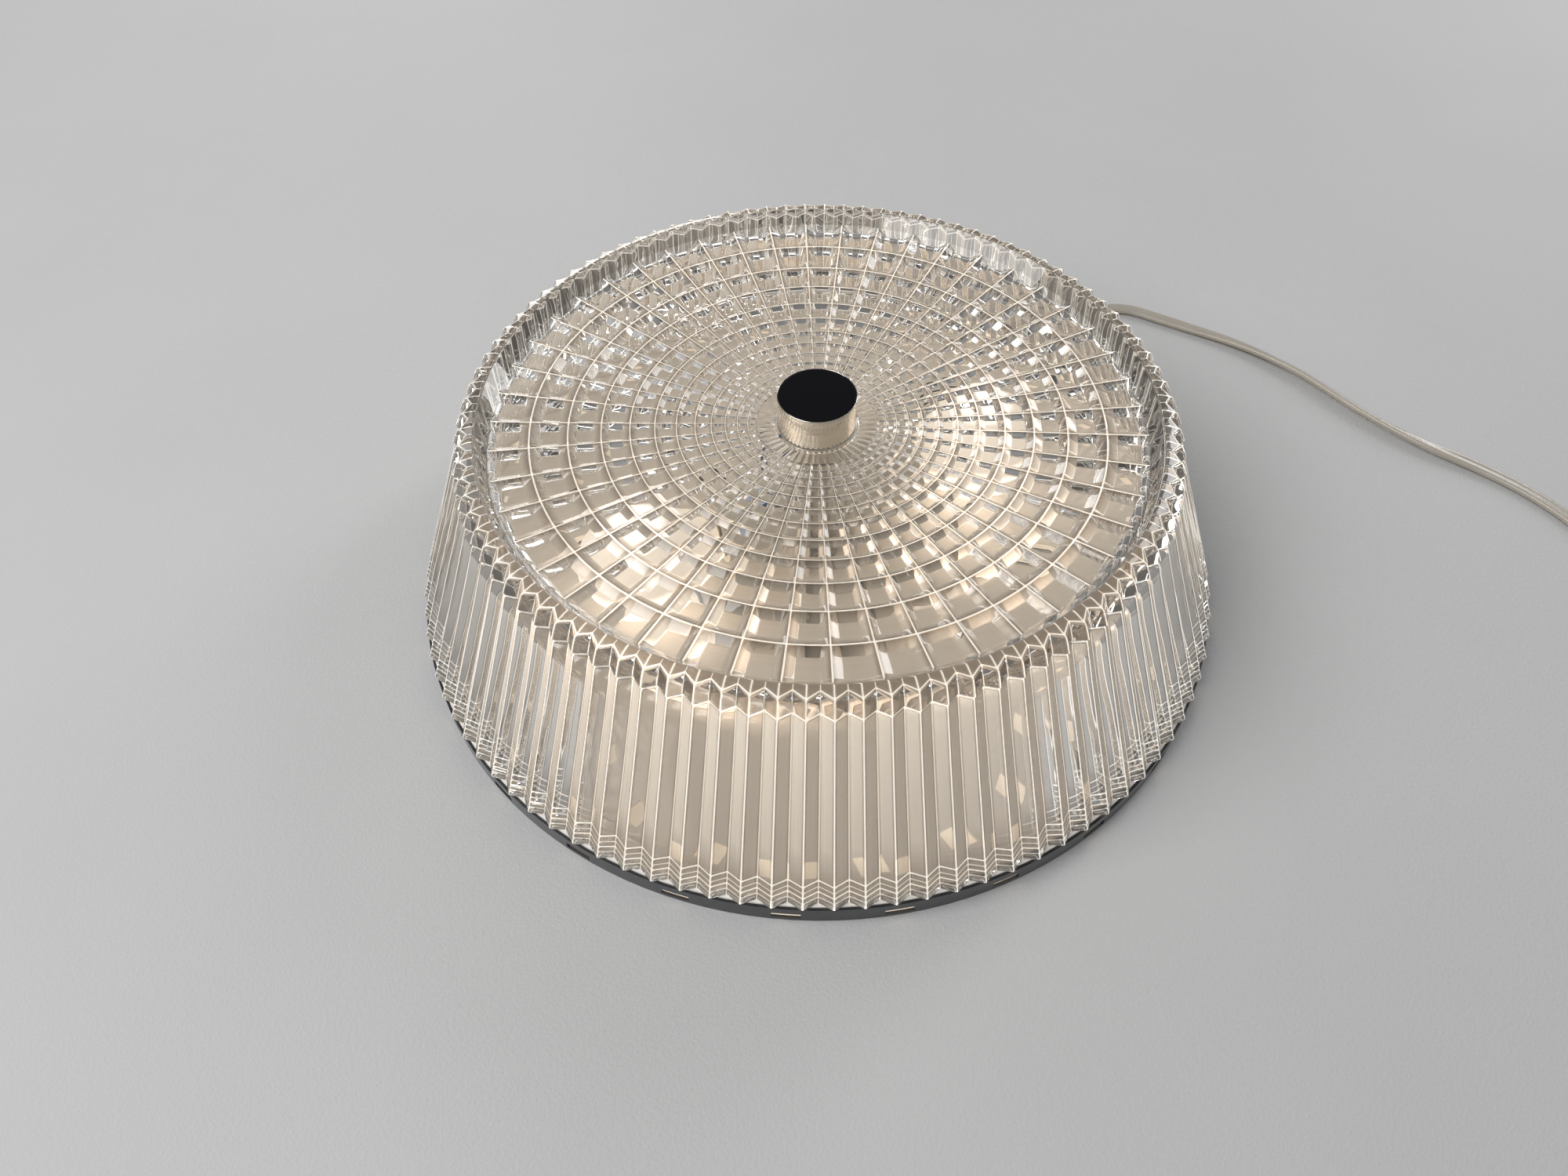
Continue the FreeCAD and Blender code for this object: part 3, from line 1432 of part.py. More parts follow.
# A flat two-pin plug lies on its broad side, with a tapered strain relief.
plug = new_body("plug_body")
plug_outline = new_sketch(plug, "plug_outline", "XY_Plane")
relief_radius = size("plug_relief_radius")
relief_back = plug_y - size("plug_relief_length")
plug_front = plug_y + size("plug_length")
outline(
    plug_outline,
    [
        (plug_x - plug_half, plug_y + 5.0),
        (plug_x - relief_radius - 2.0, plug_y),
        (plug_x + relief_radius + 2.0, plug_y),
        (plug_x + plug_half, plug_y + 5.0),
        (plug_x + plug_half, plug_front),
        (plug_x - plug_half, plug_front),
    ],
)
pad(plug, "plug_moulding", plug_outline, size("plug_thickness"))
relief = new_sketch(plug, "relief_outline", "XY_Plane", height=plug_level)
outline(
    relief,
    [
        (plug_x, relief_back),
        (plug_x, plug_y + 1.0),
        (plug_x + relief_radius, plug_y + 1.0),
        (plug_x + relief_radius - 1.5, relief_back),
    ],
)
taper = plug.newObject("PartDesign::Revolution", "plug_relief")
taper.Profile = relief
taper.ReferenceAxis = (relief, ["Edge1"])
taper.Angle = 360
doc.recompute()
pins = []
pin_reach = size("plug_pin_spacing").value / 2
pin_radius = size("plug_pin_radius").value
pin_length = size("plug_pin_length").value
for side in (pin_reach, -pin_reach):
    foot = vector(plug_x.value + side, plug_front.value, plug_level.value)
    pins.append(Part.makeCylinder(pin_radius, pin_length, foot, vector(0, 1, 0)))
solid_feature("plug_pins", Part.makeCompound(pins), on_lamp_line=False)

# Checks and export.
doc.recompute()
for feature in doc.Objects:
    if "Invalid" in feature.State or "Error" in feature.State:
        raise RuntimeError("%s failed: %s" % (feature.Name, feature.State))
for piece in pieces:
    if piece.Shape.isNull() or not piece.Shape.isValid():
        raise RuntimeError(piece.Label + " has no valid shape")
    if piece.Shape.Volume <= 0:
        raise RuntimeError(piece.Label + " has no volume")
for piece in pieces:
    piece.Shape.exportStep("parts/%s.step" % piece.Label)
    print("%-22s %9.1f mm3 %3d solids" % (piece.Label, piece.Shape.Volume, len(piece.Shape.Solids)))
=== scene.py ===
import math

import bpy
import numpy as np
from mathutils import Matrix


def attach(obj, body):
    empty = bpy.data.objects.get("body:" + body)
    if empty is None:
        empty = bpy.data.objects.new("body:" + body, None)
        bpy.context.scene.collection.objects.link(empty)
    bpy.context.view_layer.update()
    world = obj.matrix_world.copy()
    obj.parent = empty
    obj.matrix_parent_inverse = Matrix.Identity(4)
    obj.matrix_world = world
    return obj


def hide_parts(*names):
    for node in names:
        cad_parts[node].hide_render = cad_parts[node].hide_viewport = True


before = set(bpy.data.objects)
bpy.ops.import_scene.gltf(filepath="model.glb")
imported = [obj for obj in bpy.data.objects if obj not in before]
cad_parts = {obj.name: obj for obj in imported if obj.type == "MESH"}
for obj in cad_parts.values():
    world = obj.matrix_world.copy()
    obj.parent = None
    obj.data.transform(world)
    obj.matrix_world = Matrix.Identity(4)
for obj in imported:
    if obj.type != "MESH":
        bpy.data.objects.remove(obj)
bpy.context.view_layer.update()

# The studio: a broad pale table top, an even grey-white sky, one large soft lamp over the left
# shoulder and two narrow ones behind, which draw the bright edges of pressed glass.
scene = bpy.context.scene
scene.view_settings.view_transform = "Standard"
MM = 0.001


class Value:
    """A number or colour on its way through a material; arithmetic on it adds Math nodes."""

    def __init__(self, finish, socket):
        self.finish = finish
        self.socket = socket

    def maths(self, operation, first, second):
        return self.finish.node("ShaderNodeMath", {"operation": operation}, {0: first, 1: second})

    def __add__(self, other):
        return self.maths("ADD", self, other)

    def __sub__(self, other):
        return self.maths("SUBTRACT", self, other)

    def __rsub__(self, other):
        return self.maths("SUBTRACT", other, self)

    def __mul__(self, other):
        return self.maths("MULTIPLY", self, other)

    def __truediv__(self, other):
        return self.maths("DIVIDE", self, other)

    def __gt__(self, other):
        return self.maths("GREATER_THAN", self, other)

    def __lt__(self, other):
        return self.maths("LESS_THAN", self, other)

    def at_least(self, level):
        return self.maths("MAXIMUM", self, level)

    def at_most(self, level):
        return self.maths("MINIMUM", self, level)

    def clamped(self):
        return self.at_least(0.0).at_most(1.0)

    __radd__ = __add__
    __rmul__ = __mul__


class Finish:
    """One surface finish: a principled material, and the one method that adds any node to it."""

    def __init__(self, name, **constants):
        self.material = bpy.data.materials.new(name)
        self.material.use_nodes = True
        self.tree = self.material.node_tree
        self.shader = self.tree.nodes["Principled BSDF"]
        for socket, value in constants.items():
            self.put(socket.replace("_", " ").title().replace("Ior", "IOR"), value)

    def node(self, kind, settings=None, inputs=None, output=0):
        """Adds a node: its settings first, then the values or links of its sockets."""
        made = self.tree.nodes.new(kind)
        for key, value in (settings or {}).items():
            setattr(made, key, value)
        for key, value in (inputs or {}).items():
            if isinstance(value, Value):
                self.tree.links.new(value.socket, made.inputs[key])
            else:
                made.inputs[key].default_value = value
        return Value(self, made.outputs[output])

    def put(self, socket, value):
        """A constant or a varying value on one of the shader's own sockets."""
        if isinstance(value, Value):
            self.tree.links.new(value.socket, self.shader.inputs[socket])
        elif isinstance(value, tuple):
            self.shader.inputs[socket].default_value = (*value, 1.0)
        else:
            self.shader.inputs[socket].default_value = value

    def place(self):
        return self.node("ShaderNodeTexCoord", output="Object")

    def along(self, axis):
        """The object coordinate along X, Y or Z, in metres."""
        return self.node("ShaderNodeSeparateXYZ", None, {0: self.place()}, axis)

    def vector(self, operation, first, *second, output=0):
        """Vector arithmetic. Where its result is one number, that is the output Value."""
        inputs = dict(enumerate((first, *second)))
        return self.node("ShaderNodeVectorMath", {"operation": operation}, inputs, output)

    def share(self, name):
        """The number that the mesh gives its points under that name."""
        return self.node("ShaderNodeAttribute", {"attribute_name": name}, output="Fac")

    def noise(self, scale, detail=2.0, stretch=None):
        """Cloudy noise from 0 to 1, of about one cloud in 1/scale metres."""
        spot = self.place()
        if stretch:
            spot = self.node("ShaderNodeMapping", None, {"Vector": spot, "Scale": stretch})
        inputs = {"Vector": spot, "Scale": scale, "Detail": detail}
        return self.node("ShaderNodeTexNoise", None, inputs)

    def mix(self, share, low, high):
        """Goes from one colour to another as the share goes from 0 to 1."""
        ends = {6: (*low, 1.0) if isinstance(low, tuple) else low}
        ends[7] = (*high, 1.0) if isinstance(high, tuple) else high
        return self.node("ShaderNodeMix", {"data_type": "RGBA"}, {0: share, **ends}, 2)

    def relief(self, height, distance):
        """Raises the surface by the height's share of a distance in metres."""
        inputs = {"Strength": 1.0, "Distance": distance, "Height": height}
        self.put("Normal", self.node("ShaderNodeBump", None, inputs))

    def on(self, *names):
        """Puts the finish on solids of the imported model."""
        for name in names:
            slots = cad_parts[name].material_slots
            if not slots:
                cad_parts[name].data.materials.append(self.material)
            for slot in slots:
                slot.material = self.material


def mesh_piece(name, points, faces, finish, **shares):
    """A piece from arrays of points in millimetres and of three- or four-cornered faces.

    Each corner's normal is the sum of the area vectors of the faces round it, so wide facets
    stay flat to the eye and the narrow strips between them turn, as on fire-polished glass.
    A named share gives each point a number that the finish can read."""
    points = np.asarray(points, float) * MM
    blocks = [np.asarray(block, int) for block in faces]
    mesh = bpy.data.meshes.new(name)
    mesh.from_pydata(points.tolist(), [], [face for block in blocks for face in block.tolist()])
    normals = np.zeros_like(points)
    for block in blocks:
        first = points[block[:, 2]] - points[block[:, 0]]
        last = points[block[:, -1]] - points[block[:, 1]]
        area = np.cross(first, last)
        for corner in range(block.shape[1]):
            np.add.at(normals, block[:, corner], area)
    not_zero = 1e-18
    normals /= np.linalg.norm(normals, axis=1, keepdims=True) + not_zero
    mesh.shade_smooth()
    mesh.normals_split_custom_set_from_vertices(normals.tolist())
    for share_name, numbers in shares.items():
        attribute = mesh.attributes.new(share_name, "FLOAT", "POINT")
        attribute.data.foreach_set("value", numbers)
    mesh.materials.append(finish.material)
    made = bpy.data.objects.new(name, mesh)
    scene.collection.objects.link(made)
    return made


def grid_faces(rows, columns, first=0, closed_rows=False):
    """Four-cornered faces of a grid that closes round its columns, and if asked its rows."""
    row = np.arange(rows if closed_rows else rows - 1)[:, None] * columns
    above = (row + columns) % (rows * columns)
    column = np.arange(columns)[None, :]
    after = (column + 1) % columns
    corners = (row + column, row + after, above + after, above + column)
    return first + np.stack(corners, axis=-1).reshape(-1, 4)


def full_turn(steps):
    """The angles of a full turn in equal steps."""
    return np.linspace(0.0, 2 * np.pi, steps, endpoint=False)


FLOOR_LEVEL = -0.3
FLOOR_REACH = 2600.0
FLOOR_RINGS = 8
FLOOR_SPOKES = 72
table = Finish("table_top", roughness=0.7)
shade_of_grey = table.mix(table.noise(9.0, 6.0), (0.54, 0.54, 0.535), (0.58, 0.58, 0.575))
table.put("Base Color", shade_of_grey)
table.relief(table.noise(900.0, 3.0), 0.0002)
floor_out = np.linspace(0.0, 1.0, FLOOR_RINGS + 1)[1:, None] * FLOOR_REACH
floor_turn = full_turn(FLOOR_SPOKES)[None, :]
floor_across = (floor_out * np.cos(floor_turn), floor_out * np.sin(floor_turn))
floor_rings = np.stack([*floor_across, np.full_like(floor_across[0], FLOOR_LEVEL)], axis=-1)
floor_points = np.concatenate([floor_rings.reshape(-1, 3), [[0.0, 0.0, FLOOR_LEVEL]]])
spoke = np.arange(FLOOR_SPOKES)
middle = np.full(FLOOR_SPOKES, FLOOR_RINGS * FLOOR_SPOKES)
fan = np.stack([middle, spoke, (spoke + 1) % FLOOR_SPOKES], axis=-1)
floor_faces = [grid_faces(FLOOR_RINGS, FLOOR_SPOKES)[:, ::-1], fan]
floor = mesh_piece("table_top", floor_points, floor_faces, table)

sky = bpy.data.worlds.new("studio")
sky.use_nodes = True
sky.node_tree.nodes["Background"].inputs["Color"].default_value = (0.25, 0.253, 0.26, 1.0)
scene.world = sky
LAMP_AIM = (0.0, 0.0, 0.05)


def soft_lamp(name, place, across, high, watts):
    """A flat soft lamp of a size in metres, turned towards the light on the table."""
    light = bpy.data.lights.new(name, "AREA")
    light.shape, light.size, light.size_y, light.energy = "RECTANGLE", across, high, watts
    lamp = bpy.data.objects.new(name, light)
    scene.collection.objects.link(lamp)
    back = np.array(place) - np.array(LAMP_AIM)
    back /= np.linalg.norm(back)
    side = np.cross([0.0, 0.0, 1.0], back)
    side /= np.linalg.norm(side)
    stand = np.eye(4)
    stand[:3] = np.stack([side, np.cross(back, side), back, place], axis=-1)
    lamp.matrix_world = Matrix(stand.tolist())


soft_lamp("window_lamp", (-0.9, -0.5, 1.3), 1.2, 0.9, 19.0)
soft_lamp("edge_lamp", (0.9, 0.9, 0.7), 0.25, 1.0, 5.0)
soft_lamp("far_lamp", (-0.45, 1.15, 0.48), 0.6, 0.2, 2.5)

# The camera stands in front and looks steeply down, as close as it was to the light itself.
CAMERA_PLACE = (0.0, -0.3252, 0.3784)
CAMERA_ANGLES = (50.591, -2.323, -0.982)
SENSOR_WIDTH = 36.0
FOCAL_PIXELS = 1509.9
FRAME_PIXELS = 2000.0
pitch, yaw, roll = (math.radians(angle) for angle in CAMERA_ANGLES)
level = np.array([math.cos(yaw), -math.sin(yaw), 0.0])
forward = np.array([math.sin(yaw), math.cos(yaw), 0.0])
ahead = forward * math.cos(pitch) - np.array([0.0, 0.0, math.sin(pitch)])
above = np.cross(level, ahead)
right = math.cos(roll) * level + math.sin(roll) * above
top = -math.sin(roll) * level + math.cos(roll) * above
lens = bpy.data.cameras.new("camera")
lens.sensor_fit = "HORIZONTAL"
lens.sensor_width = SENSOR_WIDTH
lens.lens = SENSOR_WIDTH * FOCAL_PIXELS / FRAME_PIXELS
camera = bpy.data.objects.new("camera", lens)
scene.collection.objects.link(camera)
tripod = np.eye(4)
tripod[:3] = np.stack([right, top, -ahead, CAMERA_PLACE], axis=-1)
camera.matrix_world = Matrix(tripod.tolist())
scene.camera = camera

# The supply lead: a flat twin flex with two tinned copper strands in milky soft plastic, 1.5 m
# long. It leaves the pan by a notch, wanders over the table, and its spare length is wound in
# a tied coil that ends in the plug.
LEAD_THICKNESS = 3.0
LEAD_WAIST = 1.02
LOBE_SWING = 118.0
CORE_RADIUS = 0.62
COIL_CENTRE = (372.0, -14.0)
COIL_TURNS = 5.5
COIL_STEPS = 16
OUTER_TURN, INNER_TURN, LAST_TURN = 36.4, 30.2, 33.4
FIRST_LAYER, SECOND_LAYER, THIRD_LAYER = 1.5, 4.6, 7.7
EDGE_ROLL = math.radians(-48.0)
PLUG_X = 405.0
PLUG_Z = 6.85
EXIT = (96.85, 126.10, 2.5)
free_run = [
    EXIT,
    (107.2, 139.6, 2.5),
    (120.5, 156.5, 1.6),
    (136.0, 168.5, 1.5),
    (155.0, 172.5, 1.5),
    (172.0, 163.0, 1.5),
    (188.0, 154.5, 1.5),
    (203.0, 146.0, 1.8),
    (217.0, 135.0, 2.4),
    (229.5, 122.5, 2.9),
    (240.5, 108.5, 3.0),
    (251.0, 94.5, 3.0),
    (263.0, 82.5, 3.0),
    (275.5, 71.8, 2.8),
    (289.0, 63.0, 2.2),
    (301.0, 54.2, 1.6),
    (312.0, 43.8, 1.5),
    (322.5, 30.0, 1.5),
    (330.5, 14.5, 1.5),
    (335.0, 0.0, 1.5),
]
# The coil's turns: two side by side and three layers high, taken up one after the other. The
# spline touches the middles of its control lines, so the corners stand a little outside it.
turn_at = np.arange(0.0, COIL_TURNS + 0.01, 1.0 / COIL_STEPS)
turn_radii = [OUTER_TURN, INNER_TURN, INNER_TURN, OUTER_TURN, OUTER_TURN, LAST_TURN]
layer_radius = np.interp(turn_at, [0.9, 1.1, 2.9, 3.1, 5.2, 5.5], turn_radii)
layers = [FIRST_LAYER, SECOND_LAYER, SECOND_LAYER, THIRD_LAYER]
layer_height = np.interp(turn_at, [1.9, 2.1, 3.9, 4.1], layers)
coil_angle = math.pi + 2 * math.pi * turn_at
coil_run = np.stack(
    [
        COIL_CENTRE[0] + layer_radius * np.cos(coil_angle) / math.cos(math.pi / COIL_STEPS),
        COIL_CENTRE[1] + layer_radius * np.sin(coil_angle) / math.cos(math.pi / COIL_STEPS),
        layer_height,
    ],
    axis=-1,
)
tail_run = [(PLUG_X, -3.0, 7.6), (PLUG_X, 6.0, 7.2), (PLUG_X, 17.0, PLUG_Z)]
lead_points = np.concatenate([free_run, coil_run, tail_run])

# The route's points steer one smooth NURBS spline, whose line is read back as points.
route = bpy.data.curves.new("lead_route", "CURVE")
route.dimensions = "3D"
route.resolution_u = 7
spline = route.splines.new("NURBS")
spline.points.add(len(lead_points) - 1)
weights = np.ones((len(lead_points), 1))
spline.points.foreach_set("co", np.hstack([lead_points * MM, weights]).ravel())
spline.order_u = 3
spline.use_endpoint_u = True
holder = bpy.data.objects.new("lead_route", route)
route_mesh = bpy.data.meshes.new_from_object(holder)
route_read = np.zeros(len(route_mesh.vertices) * 3)
route_mesh.vertices.foreach_get("co", route_read)
bpy.data.objects.remove(holder)
bpy.data.meshes.remove(route_mesh)
lead_line = route_read.reshape(-1, 3) / MM

travelled = np.cumsum(np.linalg.norm(np.diff(lead_line, axis=0), axis=1))
travelled = np.concatenate([[0.0], travelled])
heading = np.gradient(lead_line, travelled, axis=0)
heading /= np.linalg.norm(heading, axis=1, keepdims=True)
flat_side = np.cross([0.0, 0.0, 1.0], heading)
flat_side /= np.linalg.norm(flat_side, axis=1, keepdims=True)
upper_side = np.cross(heading, flat_side)
# Half-way along the table the flex rolls half onto its edge and back again.
edge_roll = EDGE_ROLL * np.interp(travelled, [105.0, 170.0, 208.0, 248.0], [0.0, 1.0, 1.0, 0.0])
roll_cos, roll_sin = np.cos(edge_roll)[:, None], np.sin(edge_roll)[:, None]
lead_across = flat_side * roll_cos + upper_side * roll_sin
lead_over = upper_side * roll_cos - flat_side * roll_sin


def along_lead(section):
    """Carries a closed section (across, over) along the lead: a grid of one ring per point."""
    section = np.asarray(section)[None, :, :]
    across = lead_across[:, None, :] * section[:, :, :1]
    return lead_line[:, None, :] + across + lead_over[:, None, :] * section[:, :, 1:]


def capped(rings):
    """Points and faces of a run of rings, closed by a fan to the middle of each end ring."""
    rows, columns = rings.shape[:2]
    middles = (rings[:1].mean(axis=1), rings[-1:].mean(axis=1))
    points = np.concatenate([rings.reshape(-1, 3), *middles])
    here = np.arange(columns)
    after = (here + 1) % columns
    start = np.stack([np.full(columns, rows * columns), after, here], axis=-1)
    last = (rows - 1) * columns
    end = np.stack([np.full(columns, rows * columns + 1), last + here, last + after], axis=-1)
    return points, [grid_faces(rows, columns), start, end]


lobe = LEAD_THICKNESS / 2
swing = np.radians(np.linspace(-LOBE_SWING, LOBE_SWING, 11))
right_lobe = np.stack([lobe + lobe * np.cos(swing), lobe * np.sin(swing)], axis=-1)
waist = np.array([[0.0, LEAD_WAIST]])
flex_section = np.concatenate([right_lobe, waist, -right_lobe, -waist])
clear_flex = Finish("clear_flex", roughness=0.24, ior=1.5, transmission_weight=0.35)
milkiness = clear_flex.noise(60.0, 4.0)
clear_flex.put("Base Color", clear_flex.mix(milkiness, (0.55, 0.50, 0.42), (0.66, 0.61, 0.53)))
clear_flex.relief(clear_flex.noise(700.0, 2.0), 0.00006)
lead = mesh_piece("supply_lead", *capped(along_lead(flex_section)), clear_flex)
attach(lead, "base")
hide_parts("supply_cord", "cord_coil", "cord_tail")

# Its two copper strands, twisted from fine tinned wires, one in each half.
strand_finish = Finish("twisted_copper", metallic=1.0, roughness=0.34)
twist = (strand_finish.noise(2600.0, 1.0, (1.0, 1.0, 0.35)) * 1.6 - 0.3).clamped()
copper = strand_finish.mix(twist, (0.45, 0.36, 0.28), (0.80, 0.70, 0.58))
strand_finish.put("Base Color", copper)
strand_finish.relief(twist, 0.0001)
core_turn = full_turn(8)
core_over = CORE_RADIUS * np.sin(core_turn)
for hand, side in (("left", -lobe), ("right", lobe)):
    core_section = np.stack([side + CORE_RADIUS * np.cos(core_turn), core_over], axis=-1)
    core_rings = along_lead(core_section)
    strand = mesh_piece("lead_strand_%s" % hand, *capped(core_rings), strand_finish)
    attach(strand, "base")

# The tie that keeps the coil together: a soft white band, closed round the turns at the front
# and pressed flat between the coil and the table.
TIE_Y = COIL_CENTRE[1] - 33.3
TIE_Z = 4.7
TIE_HALF_WIDTH = 6.45
TIE_HALF_HEIGHT = 4.75
TIE_STEPS = 48
tie_finish = Finish("white_tie", roughness=0.55)
tie_white = tie_finish.mix(tie_finish.noise(500.0), (0.82, 0.82, 0.80), (0.88, 0.88, 0.86))
tie_finish.put("Base Color", tie_white)
tie_finish.relief(tie_finish.noise(1500.0, stretch=(1.0, 6.0, 1.0)), 0.0001)


def squarish(angle, half_width, half_height, power):
    """A rounded rectangle: a circle whose sine and cosine are raised to 2 / power."""
    across = half_width * np.sign(np.cos(angle)) * np.abs(np.cos(angle)) ** (2.0 / power)
    over = half_height * np.sign(np.sin(angle)) * np.abs(np.sin(angle)) ** (2.0 / power)
    return across, over


# Round the band's own section: how far outside the turns, how far along them, and the lowest
# height, because the table presses it flat.
band_section = (
    (0.1, -3.4, 0.15),
    (0.1, 3.4, 0.15),
    (0.55, 3.7, 0.0),
    (0.95, 3.4, 0.0),
    (0.95, -3.4, 0.0),
    (0.55, -3.7, 0.0),
)
band_rings = []
for grow, shift, lowest in band_section:
    half_sizes = (TIE_HALF_WIDTH + grow, TIE_HALF_HEIGHT + grow)
    across, over = squarish(full_turn(TIE_STEPS), *half_sizes, 5.0)
    along = np.full_like(across, COIL_CENTRE[0] + shift)
    band_rings.append(np.stack([along, TIE_Y + across, np.maximum(TIE_Z + over, lowest)], axis=-1))
band_points = np.stack(band_rings, axis=1).reshape(-1, 3)
band_faces = grid_faces(TIE_STEPS, len(band_section), closed_rows=True)
tie = mesh_piece("coil_tie", band_points, [band_faces], tie_finish)
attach(tie, "base")

# The two-pin plug: one moulding of white plastic, flat and hexagonal, with grip grooves on its
# broad sides and a ribbed strain relief that tapers down to the lead.
PLUG_STEPS = 96
GRIP_HALF_WIDTH = 9.5
plug_white = Finish("plug_white", roughness=0.38)
plug_clouds = plug_white.noise(80.0, 4.0)
plug_white.put("Base Color", plug_white.mix(plug_clouds, (0.80, 0.80, 0.77), (0.86, 0.86, 0.84)))
plug_white.relief(plug_white.noise(1800.0), 0.00003)
# Along Y: the moulding's half width and half height, and how square its section is.
plug_stations = np.array(
    [
        (14.0, 2.9, 2.4, 2.0),
        (14.4, 3.5, 3.0, 2.0),
        (18.0, 3.8, 3.4, 2.0),
        (22.0, 4.2, 3.9, 2.0),
        (26.0, 4.5, 4.3, 2.0),
        (30.0, 4.8, 4.7, 2.2),
        (33.2, 5.2, 5.2, 2.6),
        (34.2, 7.2, 6.1, 3.2),
        (36.0, 11.2, 6.55, 4.0),
        (39.5, 17.1, 6.8, 4.5),
        (42.0, 17.5, 6.85, 4.5),
        (46.0, 17.4, 6.85, 4.5),
        (51.0, 17.0, 6.8, 4.5),
        (56.0, 16.4, 6.7, 4.5),
        (57.4, 15.9, 6.3, 4.5),
        (58.0, 14.9, 5.4, 4.5),
    ]
)
strain_relief, body = np.arange(15.0, 33.0, 0.5), np.arange(33.2, 57.0, 0.6)
fine = np.concatenate([[14.0, 14.4], strain_relief, body, [57.4, 57.8, 58.0]])
wide, high, bend = (np.interp(fine, plug_stations[:, 0], row) for row in plug_stations.T[1:])


def grooves(start, end, pitch, depth):
    """How far evenly spaced grooves sink the moulding at each of its fine stations."""
    wave = depth * (np.sin((fine - start) * 2 * np.pi / pitch) - 1.0)
    return np.where((fine > start) & (fine < end), wave, 0.0)


relief_rib = grooves(16.0, 31.5, 3.1, 0.45)
grip = grooves(41.5, 53.0, 2.3, 0.35)
plug_rings = []
for y, w, h, p, rib, groove in zip(fine, wide, high, bend, relief_rib, grip):
    across, over = squarish(full_turn(PLUG_STEPS), w + rib, h + rib, p)
    in_grip = np.clip((GRIP_HALF_WIDTH - np.abs(across)) / 1.5, 0.0, 1.0)
    over = over + np.sign(over) * groove * in_grip
    plug_rings.append(np.stack([PLUG_X + across, np.full_like(across, y), PLUG_Z + over], axis=-1))
plug_points, plug_faces = capped(np.stack(plug_rings)[:, ::-1])
plug = mesh_piece("plug_moulding", plug_points, plug_faces, plug_white)
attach(plug, "base")
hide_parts("plug_body")

# The plug's pins: nickel tips, and white sleeves on the half next to the moulding.
SLEEVE_END = 0.0675
pin_finish = Finish("sleeved_pins")
sleeve = pin_finish.along("Y") < SLEEVE_END
pin_finish.put("Base Color", pin_finish.mix(sleeve, (0.68, 0.65, 0.58), (0.80, 0.80, 0.78)))
pin_finish.put("Metallic", 1.0 - sleeve)
pin_finish.put("Roughness", 0.24 + sleeve * 0.22 + pin_finish.noise(900.0) * 0.1)
pin_finish.on("plug_pins")

# The base pan: a dish of pressed steel with cooling slots round its skirt, black outside and
# white inside. The glow inside stands in for the lamps' light that shows through the slots.
PAN_LIP = 0.1579
PAN_FLOOR = 0.0009
PAN_EDGE = 0.0072
lacquer = Finish("black_lacquer", coat_weight=0.5, coat_roughness=0.08)
from_axis = lacquer.vector("MULTIPLY", lacquer.place(), (1.0, 1.0, 0.0))
from_axis = lacquer.vector("LENGTH", from_axis, output="Value")
inside = (from_axis < PAN_LIP) * (lacquer.along("Z") > PAN_FLOOR) * (lacquer.along("Z") < PAN_EDGE)
lacquer.put("Base Color", lacquer.mix(inside, (0.012, 0.013, 0.016), (0.84, 0.79, 0.72)))
lacquer.put("Emission Color", lacquer.mix(inside, (0.0, 0.0, 0.0), (0.35, 0.32, 0.275)))
lacquer.put("Emission Strength", 1.0)
lacquer.put("Roughness", 0.26 + lacquer.noise(240.0, 4.0) * 0.16)
lacquer.relief(lacquer.noise(1300.0), 0.00004)
lacquer.on("base_pan")

# The reflector tray and the bridge bracket: white stove-enamelled sheet, a little warmer where
# the lamps have baked it, with a faint glow of its own for the lamps' light.
BAKED_REACH = 0.12
enamel = Finish("white_enamel", coat_weight=0.8, coat_roughness=0.12)
from_middle = enamel.vector("LENGTH", enamel.place(), output="Value")
baked = ((BAKED_REACH - from_middle) * 9.0).clamped() * (0.6 + enamel.noise(35.0) * 0.8)
baked = baked.at_most(1.0)
enamel.put("Emission Color", enamel.mix(baked, (0.08, 0.072, 0.062), (0.07, 0.061, 0.050)))
enamel.put("Emission Strength", 1.0)
enamel.put("Base Color", enamel.mix(baked, (0.80, 0.77, 0.73), (0.78, 0.73, 0.66)))
enamel.put("Roughness", 0.34 + enamel.noise(180.0) * 0.14)
enamel.relief(enamel.noise(700.0), 0.00006)
enamel.on("reflector_tray", "bridge_bracket")

# Grommets: soft black rubber rings that keep sheet edges off the two cables.
rubber = Finish("black_rubber", base_color=(0.022, 0.022, 0.023))
rubber.put("Roughness", 0.6 + rubber.noise(600.0) * 0.25)
rubber.relief(rubber.noise(2500.0), 0.00005)
rubber.on("cable_grommet", "lead_grommet")

# Stud, washer and nut: zinc-plated steel with a faint yellow bloom and turning marks.
zinc = Finish("zinc_steel", metallic=1.0)
bloom = zinc.noise(70.0, 5.0)
zinc.put("Base Color", zinc.mix(bloom, (0.56, 0.56, 0.55), (0.68, 0.66, 0.58)))
zinc.put("Roughness", 0.26 + bloom * 0.22)
zinc.relief(zinc.noise(2400.0, 2.0, (0.25, 0.25, 3.0)), 0.00004)
zinc.on("centre_stud", "lock_washer", "lock_nut")

# Small screws: bright steel, dulled here and there by the driver.
screw_steel = Finish("bright_steel", metallic=1.0, base_color=(0.70, 0.69, 0.67))
screw_steel.put("Roughness", 0.18 + screw_steel.noise(1500.0, 4.0) * 0.25)
screw_steel.relief(screw_steel.noise(3500.0), 0.00003)
screw_steel.on("holder_screws", "block_fixing_screw", "clamp_screws", "terminal_screws")

